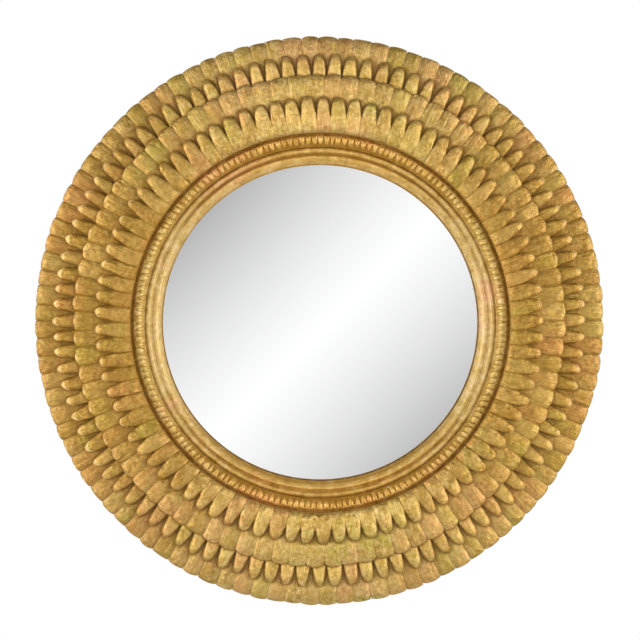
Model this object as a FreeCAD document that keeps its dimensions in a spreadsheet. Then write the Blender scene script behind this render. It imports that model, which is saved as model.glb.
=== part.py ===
import FreeCAD, Part
import math
import os

import Sketcher

# A round convex wall mirror in a wide carved giltwood frame.
# Millimetres. The mirror's axis is Y, the wall is the plane y = 0, the front faces -Y and +Z is up.
# A depth, "front of the wall", is a distance from the wall plane towards -Y.

V = FreeCAD.Vector
doc = FreeCAD.newDocument("convex_mirror")

# ---------------------------------------------------------------- driving dimensions
DIMENSIONS = [
    # glass
    ("sight_radius", 253.0),
    ("glass_radius", 262.0),
    ("glass_thickness", 4.0),
    ("glass_curve_radius", 869.0),
    ("glass_apex_depth", 79.0),
    # laminated carcass
    ("carcass_bore_radius", 264.0),
    ("carcass_outer_radius", 440.0),
    ("carcass_back_depth", 6.0),
    ("carcass_joint_depth", 24.0),
    ("carcass_front_depth", 42.0),
    ("carcass_segments", 8),
    ("glue_line_angle", 0.03),
    ("rebate_radius", 285.0),
    ("rebate_floor_depth", 11.0),
    # slip and carved band
    ("slip_outer_radius", 281.7),
    ("lip_crest_depth", 57.0),
    ("band_inner_radius", 282.0),
    ("band_outer_radius", 301.0),
    ("band_crest_depth", 67.0),
    # petal rings, counted outwards
    ("rings_inner_radius", 302.0),
    ("tip_radius_one", 357.0),
    ("tip_radius_two", 394.5),
    ("tip_radius_three", 427.0),
    ("tip_radius_four", 457.0),
    ("seat_depth_one", 72.0),
    ("seat_depth_two", 62.0),
    ("seat_depth_three", 52.0),
    ("crest_depth_one", 84.0),
    ("petals_inner", 85),
    ("petals_outer", 100),
    ("notch_depth_one", 15.0),
    ("notch_depth_two", 4.5),
    ("notch_depth_three", 9.0),
    ("notch_depth_four", 3.5),
    # felt and hoop
    ("felt_inner_radius", 254.5),
    ("rear_felt_thickness", 1.5),
    ("hoop_inner_radius", 250.0),
    ("hoop_outer_radius", 263.6),
    ("hoop_screw_depth", 17.5),
    # backboard
    ("backboard_radius", 283.0),
    # dowels and brads
    ("carcass_dowel_circle", 380.0),
    ("carcass_dowel_radius", 4.0),
    ("ring_dowel_circle", 320.0),
    ("ring_dowel_radius", 3.0),
    ("band_dowel_circle", 291.0),
    ("band_dowel_radius", 3.0),
    ("brad_circle", 272.0),
    ("brad_radius", 0.6),
    ("hole_clearance", 0.05),
    # turn buttons
    ("button_circle", 296.0),
    ("button_pivot_end_radius", 7.0),
    ("button_tip_end_radius", 5.0),
    ("button_reach", 22.0),
    ("button_back_depth", 3.8),
    ("button_thickness", 1.9),
    ("button_hole_radius", 2.05),
    ("button_screw_radius", 2.0),
    # hangers
    ("hanger_offset_x", 310.0),
    ("hanger_height", 120.0),
    ("strap_width", 16.0),
    ("strap_thickness", 1.2),
    ("strap_length", 62.0),
    ("strap_hole_radius", 2.1),
    ("strap_hole_one", 34.0),
    ("strap_hole_two", 52.0),
    ("eye_bore_radius", 1.55),
    ("wire_radius", 1.5),
    ("ring_half_width", 12.5),
    ("ring_corner_radius", 3.0),
    ("ring_leg_length", 9.0),
    # wall bumpers
    ("bumper_circle", 420.0),
    ("bumper_radius", 9.0),
]
sheet = doc.addObject("Spreadsheet::Sheet", "dimensions")
for row, (alias, value) in enumerate(DIMENSIONS, 1):
    sheet.set("A%d" % row, alias)
    sheet.set("B%d" % row, repr(value))
    sheet.setAlias("B%d" % row, alias)
doc.recompute()


class Size:
    """A number together with the sheet formula that gives it."""

    def __init__(self, value, text):
        self.value = float(value)
        self.text = text

    def join(self, other, sign, value):
        return Size(value, "(%s %s %s)" % (self.text, sign, other.text))

    def __add__(self, other):
        other = size(other)
        return self.join(other, "+", self.value + other.value)

    def __radd__(self, other):
        return size(other) + self

    def __sub__(self, other):
        other = size(other)
        return self.join(other, "-", self.value - other.value)

    def __rsub__(self, other):
        return size(other) - self

    def __mul__(self, other):
        other = size(other)
        return self.join(other, "*", self.value * other.value)

    def __rmul__(self, other):
        return size(other) * self

    def __truediv__(self, other):
        other = size(other)
        return self.join(other, "/", self.value / other.value)

    def __rtruediv__(self, other):
        return size(other) / self

    def __neg__(self):
        return Size(-self.value, "(-1 * %s)" % self.text)


def size(x):
    return x if isinstance(x, Size) else Size(x, repr(float(x)))


def dim(alias):
    for name, value in DIMENSIONS:
        if name == alias:
            return Size(value, "dimensions.%s" % alias)
    raise KeyError(alias)


def root_of(x):
    return Size(math.sqrt(x.value), "sqrt(%s)" % x.text)


def cosine(x):
    return Size(math.cos(math.radians(x.value)), "cos(%s * 1 deg)" % x.text)


def sine(x):
    return Size(math.sin(math.radians(x.value)), "sin(%s * 1 deg)" % x.text)


def polar(radius, angle):
    return size(radius) * cosine(size(angle)), size(radius) * sine(size(angle))


# ---------------------------------------------------------------- sketch helpers
def origin_feature(body, role):
    for feature in body.Origin.OriginFeatures:
        if feature.Role == role:
            return feature
    raise KeyError(role)


def new_body(name):
    body = doc.addObject("PartDesign::Body", name)
    body.Label = name
    return body


def new_sketch(body, name, role, offset=None):
    sketch = body.newObject("Sketcher::SketchObject", name)
    sketch.AttachmentSupport = [(origin_feature(body, role), "")]
    sketch.MapMode = "FlatFace"
    if offset is not None:
        sketch.setExpression("AttachmentOffset.Base.z", size(offset).text)
    return sketch


def bind(sketch, index, amount):
    sketch.setExpression("Constraints[%d]" % index, amount.text)


def pin_point(sketch, geo, pos, x, y):
    """Hold a point at x, y from the sketch's origin, both bound to the sheet."""
    for value, kind, axis in ((x, "DistanceX", -2), (y, "DistanceY", -1)):
        value = size(value)
        if abs(value.value) < 1e-9:
            sketch.addConstraint(Sketcher.Constraint("PointOnObject", geo, pos, axis))
        elif value.value > 0:
            i = sketch.addConstraint(Sketcher.Constraint(kind, -1, 1, geo, pos, value.value))
            bind(sketch, i, value)
        else:
            i = sketch.addConstraint(Sketcher.Constraint(kind, geo, pos, -1, 1, -value.value))
            bind(sketch, i, -value)


def arc_between(a, b, radius, bulge):
    """The arc from a to b with this radius that bulges to the left (+1) or right (-1) of a to b.
    It is always stored anticlockwise."""
    chord = b - a
    half = chord.Length / 2.0
    left = V(-chord.y, chord.x, 0) / chord.Length
    centre = (a + b) * 0.5 - left * (bulge * math.sqrt(max(radius * radius - half * half, 0.0)))
    first, last = (b, a) if bulge > 0 else (a, b)
    begin = math.atan2(first.y - centre.y, first.x - centre.x)
    finish = math.atan2(last.y - centre.y, last.x - centre.x)
    if finish <= begin:
        finish += 2 * math.pi
    return Part.ArcOfCircle(Part.Circle(centre, V(0, 0, 1), radius), begin, finish)


def outline(sketch, points):
    """A closed outline. A point is (x, y), or (x, y, radius, bulge) when an arc leads from it to the next."""
    flat = [V(size(p[0]).value, size(p[1]).value, 0) for p in points]
    ids = []
    for i, p in enumerate(points):
        a, b = flat[i], flat[(i + 1) % len(points)]
        if len(p) == 4:
            ids.append(sketch.addGeometry(arc_between(a, b, size(p[2]).value, p[3]), False))
        else:
            ids.append(sketch.addGeometry(Part.LineSegment(a, b), False))

    def end(i, which):
        """Which stored end of piece i lies at its start (0) or finish (1) of the outline."""
        g = sketch.Geometry[ids[i]]
        target = flat[i] if which == 0 else flat[(i + 1) % len(points)]
        return 1 if (g.StartPoint - target).Length < (g.EndPoint - target).Length else 2

    for i, p in enumerate(points):
        j = (i + 1) % len(points)
        sketch.addConstraint(Sketcher.Constraint("Coincident", ids[i], end(i, 1), ids[j], end(j, 0)))
    for i, p in enumerate(points):
        pin_point(sketch, ids[i], end(i, 0), p[0], p[1])
        if len(p) == 4:
            k = sketch.addConstraint(Sketcher.Constraint("Radius", ids[i], size(p[2]).value))
            bind(sketch, k, size(p[2]))
    return ids


def circle(sketch, x, y, radius):
    x, y, radius = size(x), size(y), size(radius)
    g = sketch.addGeometry(Part.Circle(V(x.value, y.value, 0), V(0, 0, 1), radius.value), False)
    pin_point(sketch, g, 3, x, y)
    i = sketch.addConstraint(Sketcher.Constraint("Radius", g, radius.value))
    bind(sketch, i, radius)


def revolve(body, points, angle=360.0, name="turned"):
    """A turned ring: the outline holds (radius, depth) pairs."""
    sketch = new_sketch(body, name + "_profile", "XY_Plane")
    outline(sketch, [(p[0], -size(p[1])) + tuple(p[2:]) for p in points])
    feature = body.newObject("PartDesign::Revolution", name)
    feature.Profile = sketch
    feature.ReferenceAxis = (sketch, ["V_Axis"])
    feature.Angle = size(angle).value
    if isinstance(angle, Size):
        feature.setExpression("Angle", angle.text)
    body.Tip = feature
    return feature


def pattern(body, originals, count, name):
    feature = body.newObject("PartDesign::PolarPattern", name)
    feature.Originals = originals
    feature.Axis = (origin_feature(body, "Y_Axis"), [""])
    feature.Angle = 360.0
    feature.Occurrences = int(size(count).value)
    if isinstance(count, Size):
        feature.setExpression("Occurrences", count.text)
    body.Tip = feature
    return feature


def bore(body, name, circles, from_depth, to_depth, around=None):
    """Round holes along Y between two depths; circles are (x, z, radius), around repeats them about the axis."""
    from_depth, to_depth = size(from_depth), size(to_depth)
    sketch = new_sketch(body, name + "_circles", "XZ_Plane", (from_depth + to_depth) / 2.0)
    for x, z, radius in circles:
        circle(sketch, x, z, radius)
    feature = body.newObject("PartDesign::Pocket", name)
    feature.Profile = sketch
    feature.Midplane = True
    feature.Length = (to_depth - from_depth).value
    feature.setExpression("Length", (to_depth - from_depth).text)
    body.Tip = feature
    if around:
        return pattern(body, [feature], around, name + "_pattern")
    return feature


def radial_bore(body, name, angle, radius, depth, from_radius, to_radius, around):
    """Round holes along the radius, drawn at the +X side and repeated about the axis."""
    from_radius, to_radius = size(from_radius), size(to_radius)
    sketch = new_sketch(body, name + "_circles", "YZ_Plane", (from_radius + to_radius) / 2.0)
    circle(sketch, -size(depth), 0.0, radius)
    feature = body.newObject("PartDesign::Pocket", name)
    feature.Profile = sketch
    feature.Midplane = True
    feature.Length = (to_radius - from_radius).value
    feature.setExpression("Length", (to_radius - from_radius).text)
    body.Tip = feature
    return pattern(body, [feature], around, name + "_pattern")


def spin(body, points, axis_x=None, axis_depth=None, name="turned"):
    """A fastener turned about its own axis: at radius axis_x along Y, or at axis_depth along the radius."""
    sketch = new_sketch(body, name + "_profile", "XY_Plane")
    if axis_x is not None:
        a = V(size(axis_x).value, -100, 0)
        b = V(size(axis_x).value, 100, 0)
    else:
        a = V(100, -size(axis_depth).value, 0)
        b = V(500, -size(axis_depth).value, 0)
    line = sketch.addGeometry(Part.LineSegment(a, b), True)
    pin_point(sketch, line, 1, axis_x if axis_x is not None else 100.0, -100.0 if axis_x is not None else -size(axis_depth))
    pin_point(sketch, line, 2, axis_x if axis_x is not None else 500.0, 100.0 if axis_x is not None else -size(axis_depth))
    outline(sketch, [(p[0], -size(p[1])) + tuple(p[2:]) for p in points])
    feature = body.newObject("PartDesign::Revolution", name)
    feature.Profile = sketch
    feature.ReferenceAxis = (sketch, ["Axis0"])
    feature.Angle = 360.0
    body.Tip = feature
    return feature


def turn_about_y(body, degrees):
    body.Placement = FreeCAD.Placement(V(0, 0, 0), FreeCAD.Rotation(V(0, 1, 0), degrees))


def loose(name):
    """A body that may hold several separate solids, for a set of equal pieces."""
    body = new_body(name)
    body.AllowCompound = True
    return body


clearance = dim("hole_clearance")
half_eighth = 22.5

# ---------------------------------------------------------------- glass
# A convex plate: two concentric spheres cut off at the glass radius.
sphere_centre = dim("glass_apex_depth") - dim("glass_curve_radius")  # depth of the centre, behind the wall
rear_curve = dim("glass_curve_radius") - dim("glass_thickness")


def front_glass_depth(radius):
    radius = size(radius)
    return sphere_centre + root_of(dim("glass_curve_radius") * dim("glass_curve_radius") - radius * radius)


def rear_glass_depth(radius):
    radius = size(radius)
    return sphere_centre + root_of(rear_curve * rear_curve - radius * radius)


rim = dim("glass_radius")
glass = new_body("mirror_glass")
revolve(glass, [
    (0.0, dim("glass_apex_depth"), dim("glass_curve_radius"), -1),
    (rim, front_glass_depth(rim)),
    (rim, rear_glass_depth(rim), rear_curve, 1),
    (0.0, dim("glass_apex_depth") - dim("glass_thickness")),
])

# ---------------------------------------------------------------- laminated carcass
segment_angle = 360.0 / dim("carcass_segments") - dim("glue_line_angle")
back, joint, front = dim("carcass_back_depth"), dim("carcass_joint_depth"), dim("carcass_front_depth")
bore_radius, outer_radius = dim("carcass_bore_radius"), dim("carcass_outer_radius")


def segment_ring(name, points, centred):
    """Equal glued segments; centred puts the middle of the first one, not its joint, at the +X side."""
    body = loose(name)
    feature = revolve(body, points, segment_angle, "segment")
    feature.Midplane = centred
    pattern(body, [feature], dim("carcass_segments"), "segments")
    return body


dowel_circle = dim("carcass_dowel_circle")
dowel_hole = dim("carcass_dowel_radius") + clearance


def all_round(circle_radius, hole_radius, start, count):
    """Circles (x, z, radius) evenly round the axis."""
    step = 360.0 / count
    return [polar(circle_radius, start + k * step) + (hole_radius,) for k in range(count)]


# The rear lamination's joints lie at 22.5 degrees and every 45 degrees on, the front one's at 0 and every 45.
rear = segment_ring("carcass_rear", [
    (bore_radius, dim("rebate_floor_depth")),
    (dim("rebate_radius"), dim("rebate_floor_depth")),
    (dim("rebate_radius"), back),
    (outer_radius - 4.0, back),
    (outer_radius, back + 4.0),
    (outer_radius, joint),
    (bore_radius, joint),
], True)
bore(rear, "dowel_holes", all_round(dowel_circle, dowel_hole, 11.25 + half_eighth, 16), joint - 11.0, joint + 1.0)
radial_bore(rear, "hoop_screw_holes", 0.0, 1.5 + clearance, dim("hoop_screw_depth"), bore_radius - 2.0, 283.0, 8)
bore(rear, "button_screw_holes", [polar(dim("button_circle"), 60.0 * k) + (dim("button_screw_radius") + clearance,) for k in range(6)], back - 1.0, 22.2)
strap_holes = []
for side in (1.0, -1.0):
    for drop in ("strap_hole_one", "strap_hole_two"):
        strap_holes.append((side * dim("hanger_offset_x"), dim("hanger_height") - dim(drop), 1.6 + clearance))
bore(rear, "strap_screw_holes", strap_holes, back - 1.0, 20.2)
bore(rear, "bumper_screw_holes", all_round(dim("bumper_circle"), 1.5 + clearance, 45.0, 4), back - 1.0, 20.2)

forward = segment_ring("carcass_front", [
    (bore_radius, joint),
    (outer_radius, joint),
    (outer_radius, front - 5.0),
    (outer_radius - 5.0, front),
    (bore_radius, front),
], False)
bore(forward, "dowel_holes", all_round(dowel_circle, dowel_hole, 11.25, 16), joint - 1.0, front + 1.0)
bore(forward, "ring_dowel_holes", all_round(dim("ring_dowel_circle"), dim("ring_dowel_radius") + clearance, half_eighth, 8), front - 8.0, front + 1.0)
bore(forward, "band_dowel_holes", all_round(dim("band_dowel_circle"), dim("band_dowel_radius") + clearance, half_eighth, 8), front - 10.0, front + 1.0)
bore(forward, "brad_holes", all_round(dim("brad_circle"), dim("brad_radius") + clearance, 11.25, 16), front - 12.0, front + 1.0)

# ---------------------------------------------------------------- sight slip
# A rounded lip over the glass rim, a cove, and a small bead that meets the carved band.
sight, slip_out = dim("sight_radius"), dim("slip_outer_radius")
lip = dim("lip_crest_depth")
slip = new_body("sight_slip")
revolve(slip, [
    (sight, front),
    (slip_out, front),
    (slip_out, lip - 1.0),
    (slip_out - 3.2, lip + 1.0, 4.2, 1),
    (slip_out - 9.2, lip - 1.6, 6.5, -1),
    (slip_out - 14.7, lip - 3.2, 9.0, 1),
    (sight, lip - 5.0),
])
bore(slip, "brad_holes", all_round(dim("brad_circle"), dim("brad_radius") + clearance, 11.25, 16), front - 1.0, 52.2)

# ---------------------------------------------------------------- carved band
band = new_body("carved_band")
band_in, band_out, band_crest = dim("band_inner_radius"), dim("band_outer_radius"), dim("band_crest_depth")
revolve(band, [
    (band_in, front),
    (band_out, front),
    (band_out, band_crest - 6.0, 10.4, 1),
    (band_in, band_crest - 8.0),
])
bore(band, "dowel_holes", all_round(dim("band_dowel_circle"), dim("band_dowel_radius") + clearance, half_eighth, 8), front - 1.0, 60.3)


# ---------------------------------------------------------------- petal rings
# Each ring's front is flat under the next one, and falls away in one arc from there to its tips.
def petal_ring(name, profile, tip, notch_depth, petals, start, side_radius, open_share):
    """A turned ring whose outer edge is cut into rounded petal tips by one notch per petal."""
    body = new_body(name)
    revolve(body, profile)
    pitch = 360.0 / petals
    wide = pitch * (0.5 * open_share)
    sketch = new_sketch(body, "notch_outline", "XZ_Plane")
    a = polar(tip + 1.0, start - wide)
    b = polar(tip - notch_depth, start)
    c = polar(tip + 1.0, start + wide)
    outline(sketch, [a + (side_radius, -1), b + (side_radius, -1), c])
    notch = body.newObject("PartDesign::Pocket", "notch")
    notch.Profile = sketch
    notch.Midplane = True
    notch.Length = 400.0
    body.Tip = notch
    pattern(body, [notch], petals, "notches")
    return body


inner = dim("rings_inner_radius")
tip_one, tip_two, tip_three, tip_four = (dim("tip_radius_" + n) for n in ("one", "two", "three", "four"))
seat_one, seat_two, seat_three = (dim("seat_depth_" + n) for n in ("one", "two", "three"))
crest = dim("crest_depth_one")
petals_in, petals_out = dim("petals_inner"), dim("petals_outer")

ring_one = petal_ring("petal_ring_1", [
    (inner, seat_one),
    (tip_one, seat_one),
    (tip_one, seat_one + 2.5, 52.0, 1),
    (inner, seat_one + 5.0),
], tip_one, dim("notch_depth_one"), petals_in, size(0.0), 22.0, 0.94)
ring_two = petal_ring("petal_ring_2", [
    (inner, seat_two),
    (tip_two, seat_two),
    (tip_two, seat_two + 2.0, 95.0, 1),
    (tip_one, seat_one),
    (inner, seat_one),
], tip_two, dim("notch_depth_two"), petals_in, 180.0 / petals_in, 15.0, 0.96)
ring_three = petal_ring("petal_ring_3", [
    (inner, seat_three),
    (tip_three, seat_three),
    (tip_three, seat_three + 2.5, 78.0, 1),
    (tip_two, seat_two),
    (inner, seat_two),
], tip_three, dim("notch_depth_three"), petals_out, size(0.0), 16.0, 0.9)
ring_four = petal_ring("petal_ring_4", [
    (inner, front),
    (tip_four, front),
    (tip_four, front + 2.5, 68.0, 1),
    (tip_three, seat_three),
    (inner, seat_three),
], tip_four, dim("notch_depth_four"), petals_out, 180.0 / petals_out, 15.0, 0.96)
for body, first, last in ((ring_four, front, seat_three), (ring_three, seat_three, seat_two), (ring_two, seat_two, seat_one)):
    bore(body, "ring_dowel_holes", all_round(dim("ring_dowel_circle"), dim("ring_dowel_radius") + clearance, half_eighth, 8), first - 1.0, last + 1.0)
bore(ring_one, "ring_dowel_holes", all_round(dim("ring_dowel_circle"), dim("ring_dowel_radius") + clearance, half_eighth, 8), seat_one - 1.0, 78.3)
bore(ring_four, "carcass_dowel_holes", all_round(dowel_circle, dowel_hole, 11.25, 16), front - 1.0, 48.3)

# ---------------------------------------------------------------- felt strips and retaining hoop
felt_in = dim("felt_inner_radius")
front_felt = new_body("front_felt")
revolve(front_felt, [
    (felt_in, front),
    (rim, front),
    (rim, front_glass_depth(rim) + 0.06),
    (felt_in, front_glass_depth(felt_in) + 0.06),
])
hoop_in, hoop_out = dim("hoop_inner_radius"), dim("hoop_outer_radius")
felt_thick = dim("rear_felt_thickness")
rear_felt = new_body("rear_felt")
revolve(rear_felt, [
    (hoop_in, rear_glass_depth(hoop_in) - 0.06),
    (rim, rear_glass_depth(rim) - 0.06),
    (rim, rear_glass_depth(rim) - felt_thick),
    (hoop_in, rear_glass_depth(hoop_in) - felt_thick),
])
hoop = new_body("retaining_hoop")
revolve(hoop, [
    (hoop_in, dim("rebate_floor_depth") + 0.3),
    (hoop_out, dim("rebate_floor_depth") + 0.3),
    (hoop_out, rear_glass_depth(hoop_out) - felt_thick),
    (hoop_in, rear_glass_depth(hoop_in) - felt_thick),
])
radial_bore(hoop, "screw_holes", 0.0, 3.0 + clearance, dim("hoop_screw_depth"), hoop_in - 2.0, hoop_out + 2.0, 8)

# Round-head screws along the radius: the head lies in the hoop, the point in the carcass.
hoop_screw_depth = dim("hoop_screw_depth")
hoop_screws = loose("hoop_screws")
screw = spin(hoop_screws, [
    (hoop_in + 1.0, hoop_screw_depth),
    (hoop_in + 1.0, hoop_screw_depth + 3.0),
    (hoop_in + 11.0, hoop_screw_depth + 3.0),
    (hoop_in + 12.5, hoop_screw_depth + 1.5),
    (279.0, hoop_screw_depth + 1.5),
    (282.5, hoop_screw_depth),
], axis_depth=hoop_screw_depth, name="screw")
pattern(hoop_screws, [screw], 8, "screws")

# ---------------------------------------------------------------- backboard
backboard = new_body("backboard")
revolve(backboard, [
    (0.0, back),
    (dim("backboard_radius") - 1.0, back),
    (dim("backboard_radius"), back + 1.0),
    (dim("backboard_radius"), dim("rebate_floor_depth")),
    (0.0, dim("rebate_floor_depth")),
])


# ---------------------------------------------------------------- dowels and brads
def pegs(name, circle_radius, radius, first, last, count, start, point=0.8):
    body = loose(name)
    circle_radius, radius, first, last = size(circle_radius), size(radius), size(first), size(last)
    peg = spin(body, [
        (circle_radius, first),
        (circle_radius + radius - point, first),
        (circle_radius + radius, first + point),
        (circle_radius + radius, last - point),
        (circle_radius + radius - point, last),
        (circle_radius, last),
    ], axis_x=circle_radius, name="peg")
    pattern(body, [peg], count, "pegs")
    turn_about_y(body, start)
    return body


pegs("carcass_dowels", dowel_circle, dim("carcass_dowel_radius"), 13.3, 48.0, 16, 11.25)
pegs("ring_dowels", dim("ring_dowel_circle"), dim("ring_dowel_radius"), 34.3, 78.0, 8, half_eighth)
pegs("band_dowels", dim("band_dowel_circle"), dim("band_dowel_radius"), 32.3, 60.0, 8, half_eighth)
pegs("slip_brads", dim("brad_circle"), dim("brad_radius"), 30.3, 52.0, 16, 11.25, 0.2)

# ---------------------------------------------------------------- turn buttons and their screws
button_circle = dim("button_circle")
button_back, button_thick = dim("button_back_depth"), dim("button_thickness")
pivot_end, tip_end, reach = dim("button_pivot_end_radius"), dim("button_tip_end_radius"), dim("button_reach")
# the two straight sides are tangent to both round ends
lean = (pivot_end - tip_end) / reach  # sine of the side's lean
lean_cos = root_of(1.0 - lean * lean)
for number in range(1, 7):
    name = "turn_button_%d" % number
    body = new_body(name)
    sketch = new_sketch(body, "button_outline", "XZ_Plane", button_back)
    # drawn with its pivot at the origin, reaching towards -X
    upper_pivot = (-lean * pivot_end, lean_cos * pivot_end)
    upper_tip = (-1.0 * reach - lean * tip_end, lean_cos * tip_end)
    lower_tip = (upper_tip[0], -upper_tip[1])
    lower_pivot = (upper_pivot[0], -upper_pivot[1])
    # the pivot end is more than a half circle, so it is drawn as two arcs
    east = (pivot_end, 0.0)
    west = (-1.0 * reach - tip_end, 0.0)
    outline(sketch, [
        east + (pivot_end, -1),
        upper_pivot,
        upper_tip + (tip_end, -1),
        west + (tip_end, -1),
        lower_tip,
        lower_pivot + (pivot_end, -1),
    ])
    plate = body.newObject("PartDesign::Pad", "plate")
    plate.Profile = sketch
    plate.Length = button_thick.value
    plate.setExpression("Length", button_thick.text)
    plate.Reversed = False
    body.Tip = plate
    bore(body, "pivot_hole", [(0.0, 0.0, dim("button_hole_radius"))], button_back - 1.0, button_back + button_thick + 1.0)
    # a shallow thumb groove across the tip, on the side away from the board
    groove = new_sketch(body, "groove_outline", "XZ_Plane", button_back)
    outline(groove, [
        (-1.0 * reach - 1.2, -2.6),
        (-1.0 * reach + 1.2, -2.6),
        (-1.0 * reach + 1.2, 2.6),
        (-1.0 * reach - 1.2, 2.6),
    ])
    cut = body.newObject("PartDesign::Pocket", "thumb_groove")
    cut.Profile = groove
    cut.Midplane = True
    cut.Length = 1.0
    body.Tip = cut
    angle = 60.0 * (number - 1)
    x, z = polar(button_circle, angle)
    body.Placement = FreeCAD.Placement(V(x.value, 0, z.value), FreeCAD.Rotation(V(0, 1, 0), -angle))
    body.setExpression("Placement.Base.x", x.text)
    body.setExpression("Placement.Base.z", z.text)

screw_radius = dim("button_screw_radius")
head_back = button_back - 0.2
button_screws = loose("turn_button_screws")
screw = spin(button_screws, [
    (button_circle, 1.5),
    (button_circle + 2.6, 1.6),
    (button_circle + 4.0, 2.6),
    (button_circle + 4.0, head_back),
    (button_circle + screw_radius, head_back),
    (button_circle + screw_radius, 18.5),
    (button_circle, 22.0),
], axis_x=button_circle, name="screw")


def slot_cut(body, centre_x, width, length, deepest):
    """A straight screwdriver slot across a head that faces the wall."""
    sketch = new_sketch(body, "slot_outline", "XZ_Plane", size(deepest) / 2.0)
    centre_x, half_width, half_length = size(centre_x), size(width) / 2.0, size(length) / 2.0
    outline(sketch, [
        (centre_x - half_width, -half_length),
        (centre_x + half_width, -half_length),
        (centre_x + half_width, half_length),
        (centre_x - half_width, half_length),
    ])
    slot = body.newObject("PartDesign::Pocket", "slot")
    slot.Profile = sketch
    slot.Midplane = True
    slot.Length = size(deepest).value
    body.Tip = slot
    return slot


slot = slot_cut(button_screws, button_circle, 1.0, 12.0, 2.5)
pattern(button_screws, [screw, slot], 6, "screws")

# ---------------------------------------------------------------- strap hangers, rings and screws
strap_thick = dim("strap_thickness")
eye_bore = dim("eye_bore_radius")
eye_outer = eye_bore + strap_thick
eye_depth = back - eye_outer  # depth of the eye's centre line, so that the strap lies on the wood
half_strap = dim("strap_width") / 2.0
for side, sign in (("left", -1.0), ("right", 1.0)):
    # drawn with the eye's axis through the origin, along X
    body = new_body("strap_hanger_" + side)
    sketch = new_sketch(body, "plate_outline", "XZ_Plane", eye_bore)
    low = half_strap - dim("strap_length")
    outline(sketch, [
        (-half_strap, 0.0),
        (-half_strap, low, half_strap, -1),
        (0.0, low - half_strap, half_strap, -1),
        (half_strap, low),
        (half_strap, 0.0),
    ])
    plate = body.newObject("PartDesign::Pad", "plate")
    plate.Profile = sketch
    plate.Length = strap_thick.value
    plate.setExpression("Length", strap_thick.text)
    plate.Reversed = False
    body.Tip = plate
    eye = new_sketch(body, "eye_outline", "YZ_Plane", -half_strap)
    circle(eye, 0.0, 0.0, eye_outer)
    barrel = body.newObject("PartDesign::Pad", "eye")
    barrel.Profile = eye
    barrel.Length = dim("strap_width").value
    barrel.setExpression("Length", dim("strap_width").text)
    body.Tip = barrel
    hole = new_sketch(body, "eye_bore_outline", "YZ_Plane")
    circle(hole, 0.0, 0.0, eye_bore)
    through = body.newObject("PartDesign::Pocket", "eye_bore")
    through.Profile = hole
    through.Midplane = True
    through.Length = 60.0
    body.Tip = through
    bore(body, "screw_holes", [(0.0, -dim("strap_hole_one"), dim("strap_hole_radius")), (0.0, -dim("strap_hole_two"), dim("strap_hole_radius"))], -eye_outer - 1.0, eye_outer + 1.0)
    where = (sign * dim("hanger_offset_x"), -eye_depth, dim("hanger_height"))
    body.Placement = FreeCAD.Placement(V(*(w.value for w in where)), FreeCAD.Rotation())
    for axis, w in zip("xyz", where):
        body.setExpression("Placement.Base." + axis, w.text)

    ring = new_body("d_ring_" + side)
    wide, corner, leg = dim("ring_half_width"), dim("ring_corner_radius"), dim("ring_leg_length")
    path = new_sketch(ring, "wire_path", "XZ_Plane")
    outline(path, [
        (0.0, 0.0),
        (wide - corner, 0.0, corner, 1),
        (wide, -corner),
        (wide, -leg, wide, 1),
        (0.0, -leg - wide, wide, 1),
        (-wide, -leg),
        (-wide, -corner, corner, 1),
        (corner - wide, 0.0),
    ])
    wire = new_sketch(ring, "wire_section", "YZ_Plane")
    circle(wire, 0.0, 0.0, dim("wire_radius"))
    pipe = ring.newObject("PartDesign::AdditivePipe", "wire")
    pipe.Profile = wire
    pipe.Spine = path
    ring.Tip = pipe
    ring.Placement = body.Placement
    for axis, w in zip("xyz", where):
        ring.setExpression("Placement.Base." + axis, w.text)

# Four equal flat-head screws: one is turned and slotted, and four copies of it stand in the straps.
pattern_screws = []
for side, sign in (("left", -1.0), ("right", 1.0)):
    for drop in ("strap_hole_one", "strap_hole_two"):
        where = (sign * dim("hanger_offset_x"), dim("hanger_height") - dim(drop))
        tag = "%s_%s" % (side, drop)
        shank = doc.addObject("Part::Cylinder", "shank_" + tag)
        shank.Radius, shank.Height = 1.6, 12.0
        head = doc.addObject("Part::Cone", "head_" + tag)
        head.Radius1, head.Radius2, head.Height = 2.6, 3.4, 1.6
        tipcone = doc.addObject("Part::Cone", "point_" + tag)
        tipcone.Radius1, tipcone.Radius2, tipcone.Height = 1.6, 0.2, 3.4
        slotbox = doc.addObject("Part::Box", "slot_" + tag)
        slotbox.Length, slotbox.Width, slotbox.Height = 0.8, 10.0, 0.9
        # local +Z becomes -Y, into the frame
        into = FreeCAD.Rotation(V(1, 0, 0), 90)
        head_depth = back - strap_thick - 1.6
        for item, depth, dx, dz in (
            (head, head_depth, 0.0, 0.0),
            (shank, head_depth + 1.6, 0.0, 0.0),
            (tipcone, head_depth + 13.6, 0.0, 0.0),
            (slotbox, head_depth - 0.1, -0.4, -5.0),
        ):
            spot = (where[0] + dx, -depth, where[1] + dz)
            item.Placement = FreeCAD.Placement(V(*(w.value for w in spot)), into)
            for axis, w in zip("xyz", spot):
                item.setExpression("Placement.Base." + axis, w.text)
        whole = doc.addObject("Part::MultiFuse", "screw_body_" + tag)
        whole.Shapes = [head, shank, tipcone]
        slotted = doc.addObject("Part::Cut", "screw_" + tag)
        slotted.Base = whole
        slotted.Tool = slotbox
        pattern_screws.append(slotted)
hanger_screws = doc.addObject("Part::Compound", "hanger_screws")
hanger_screws.Label = "hanger_screws"
hanger_screws.Links = pattern_screws

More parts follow.
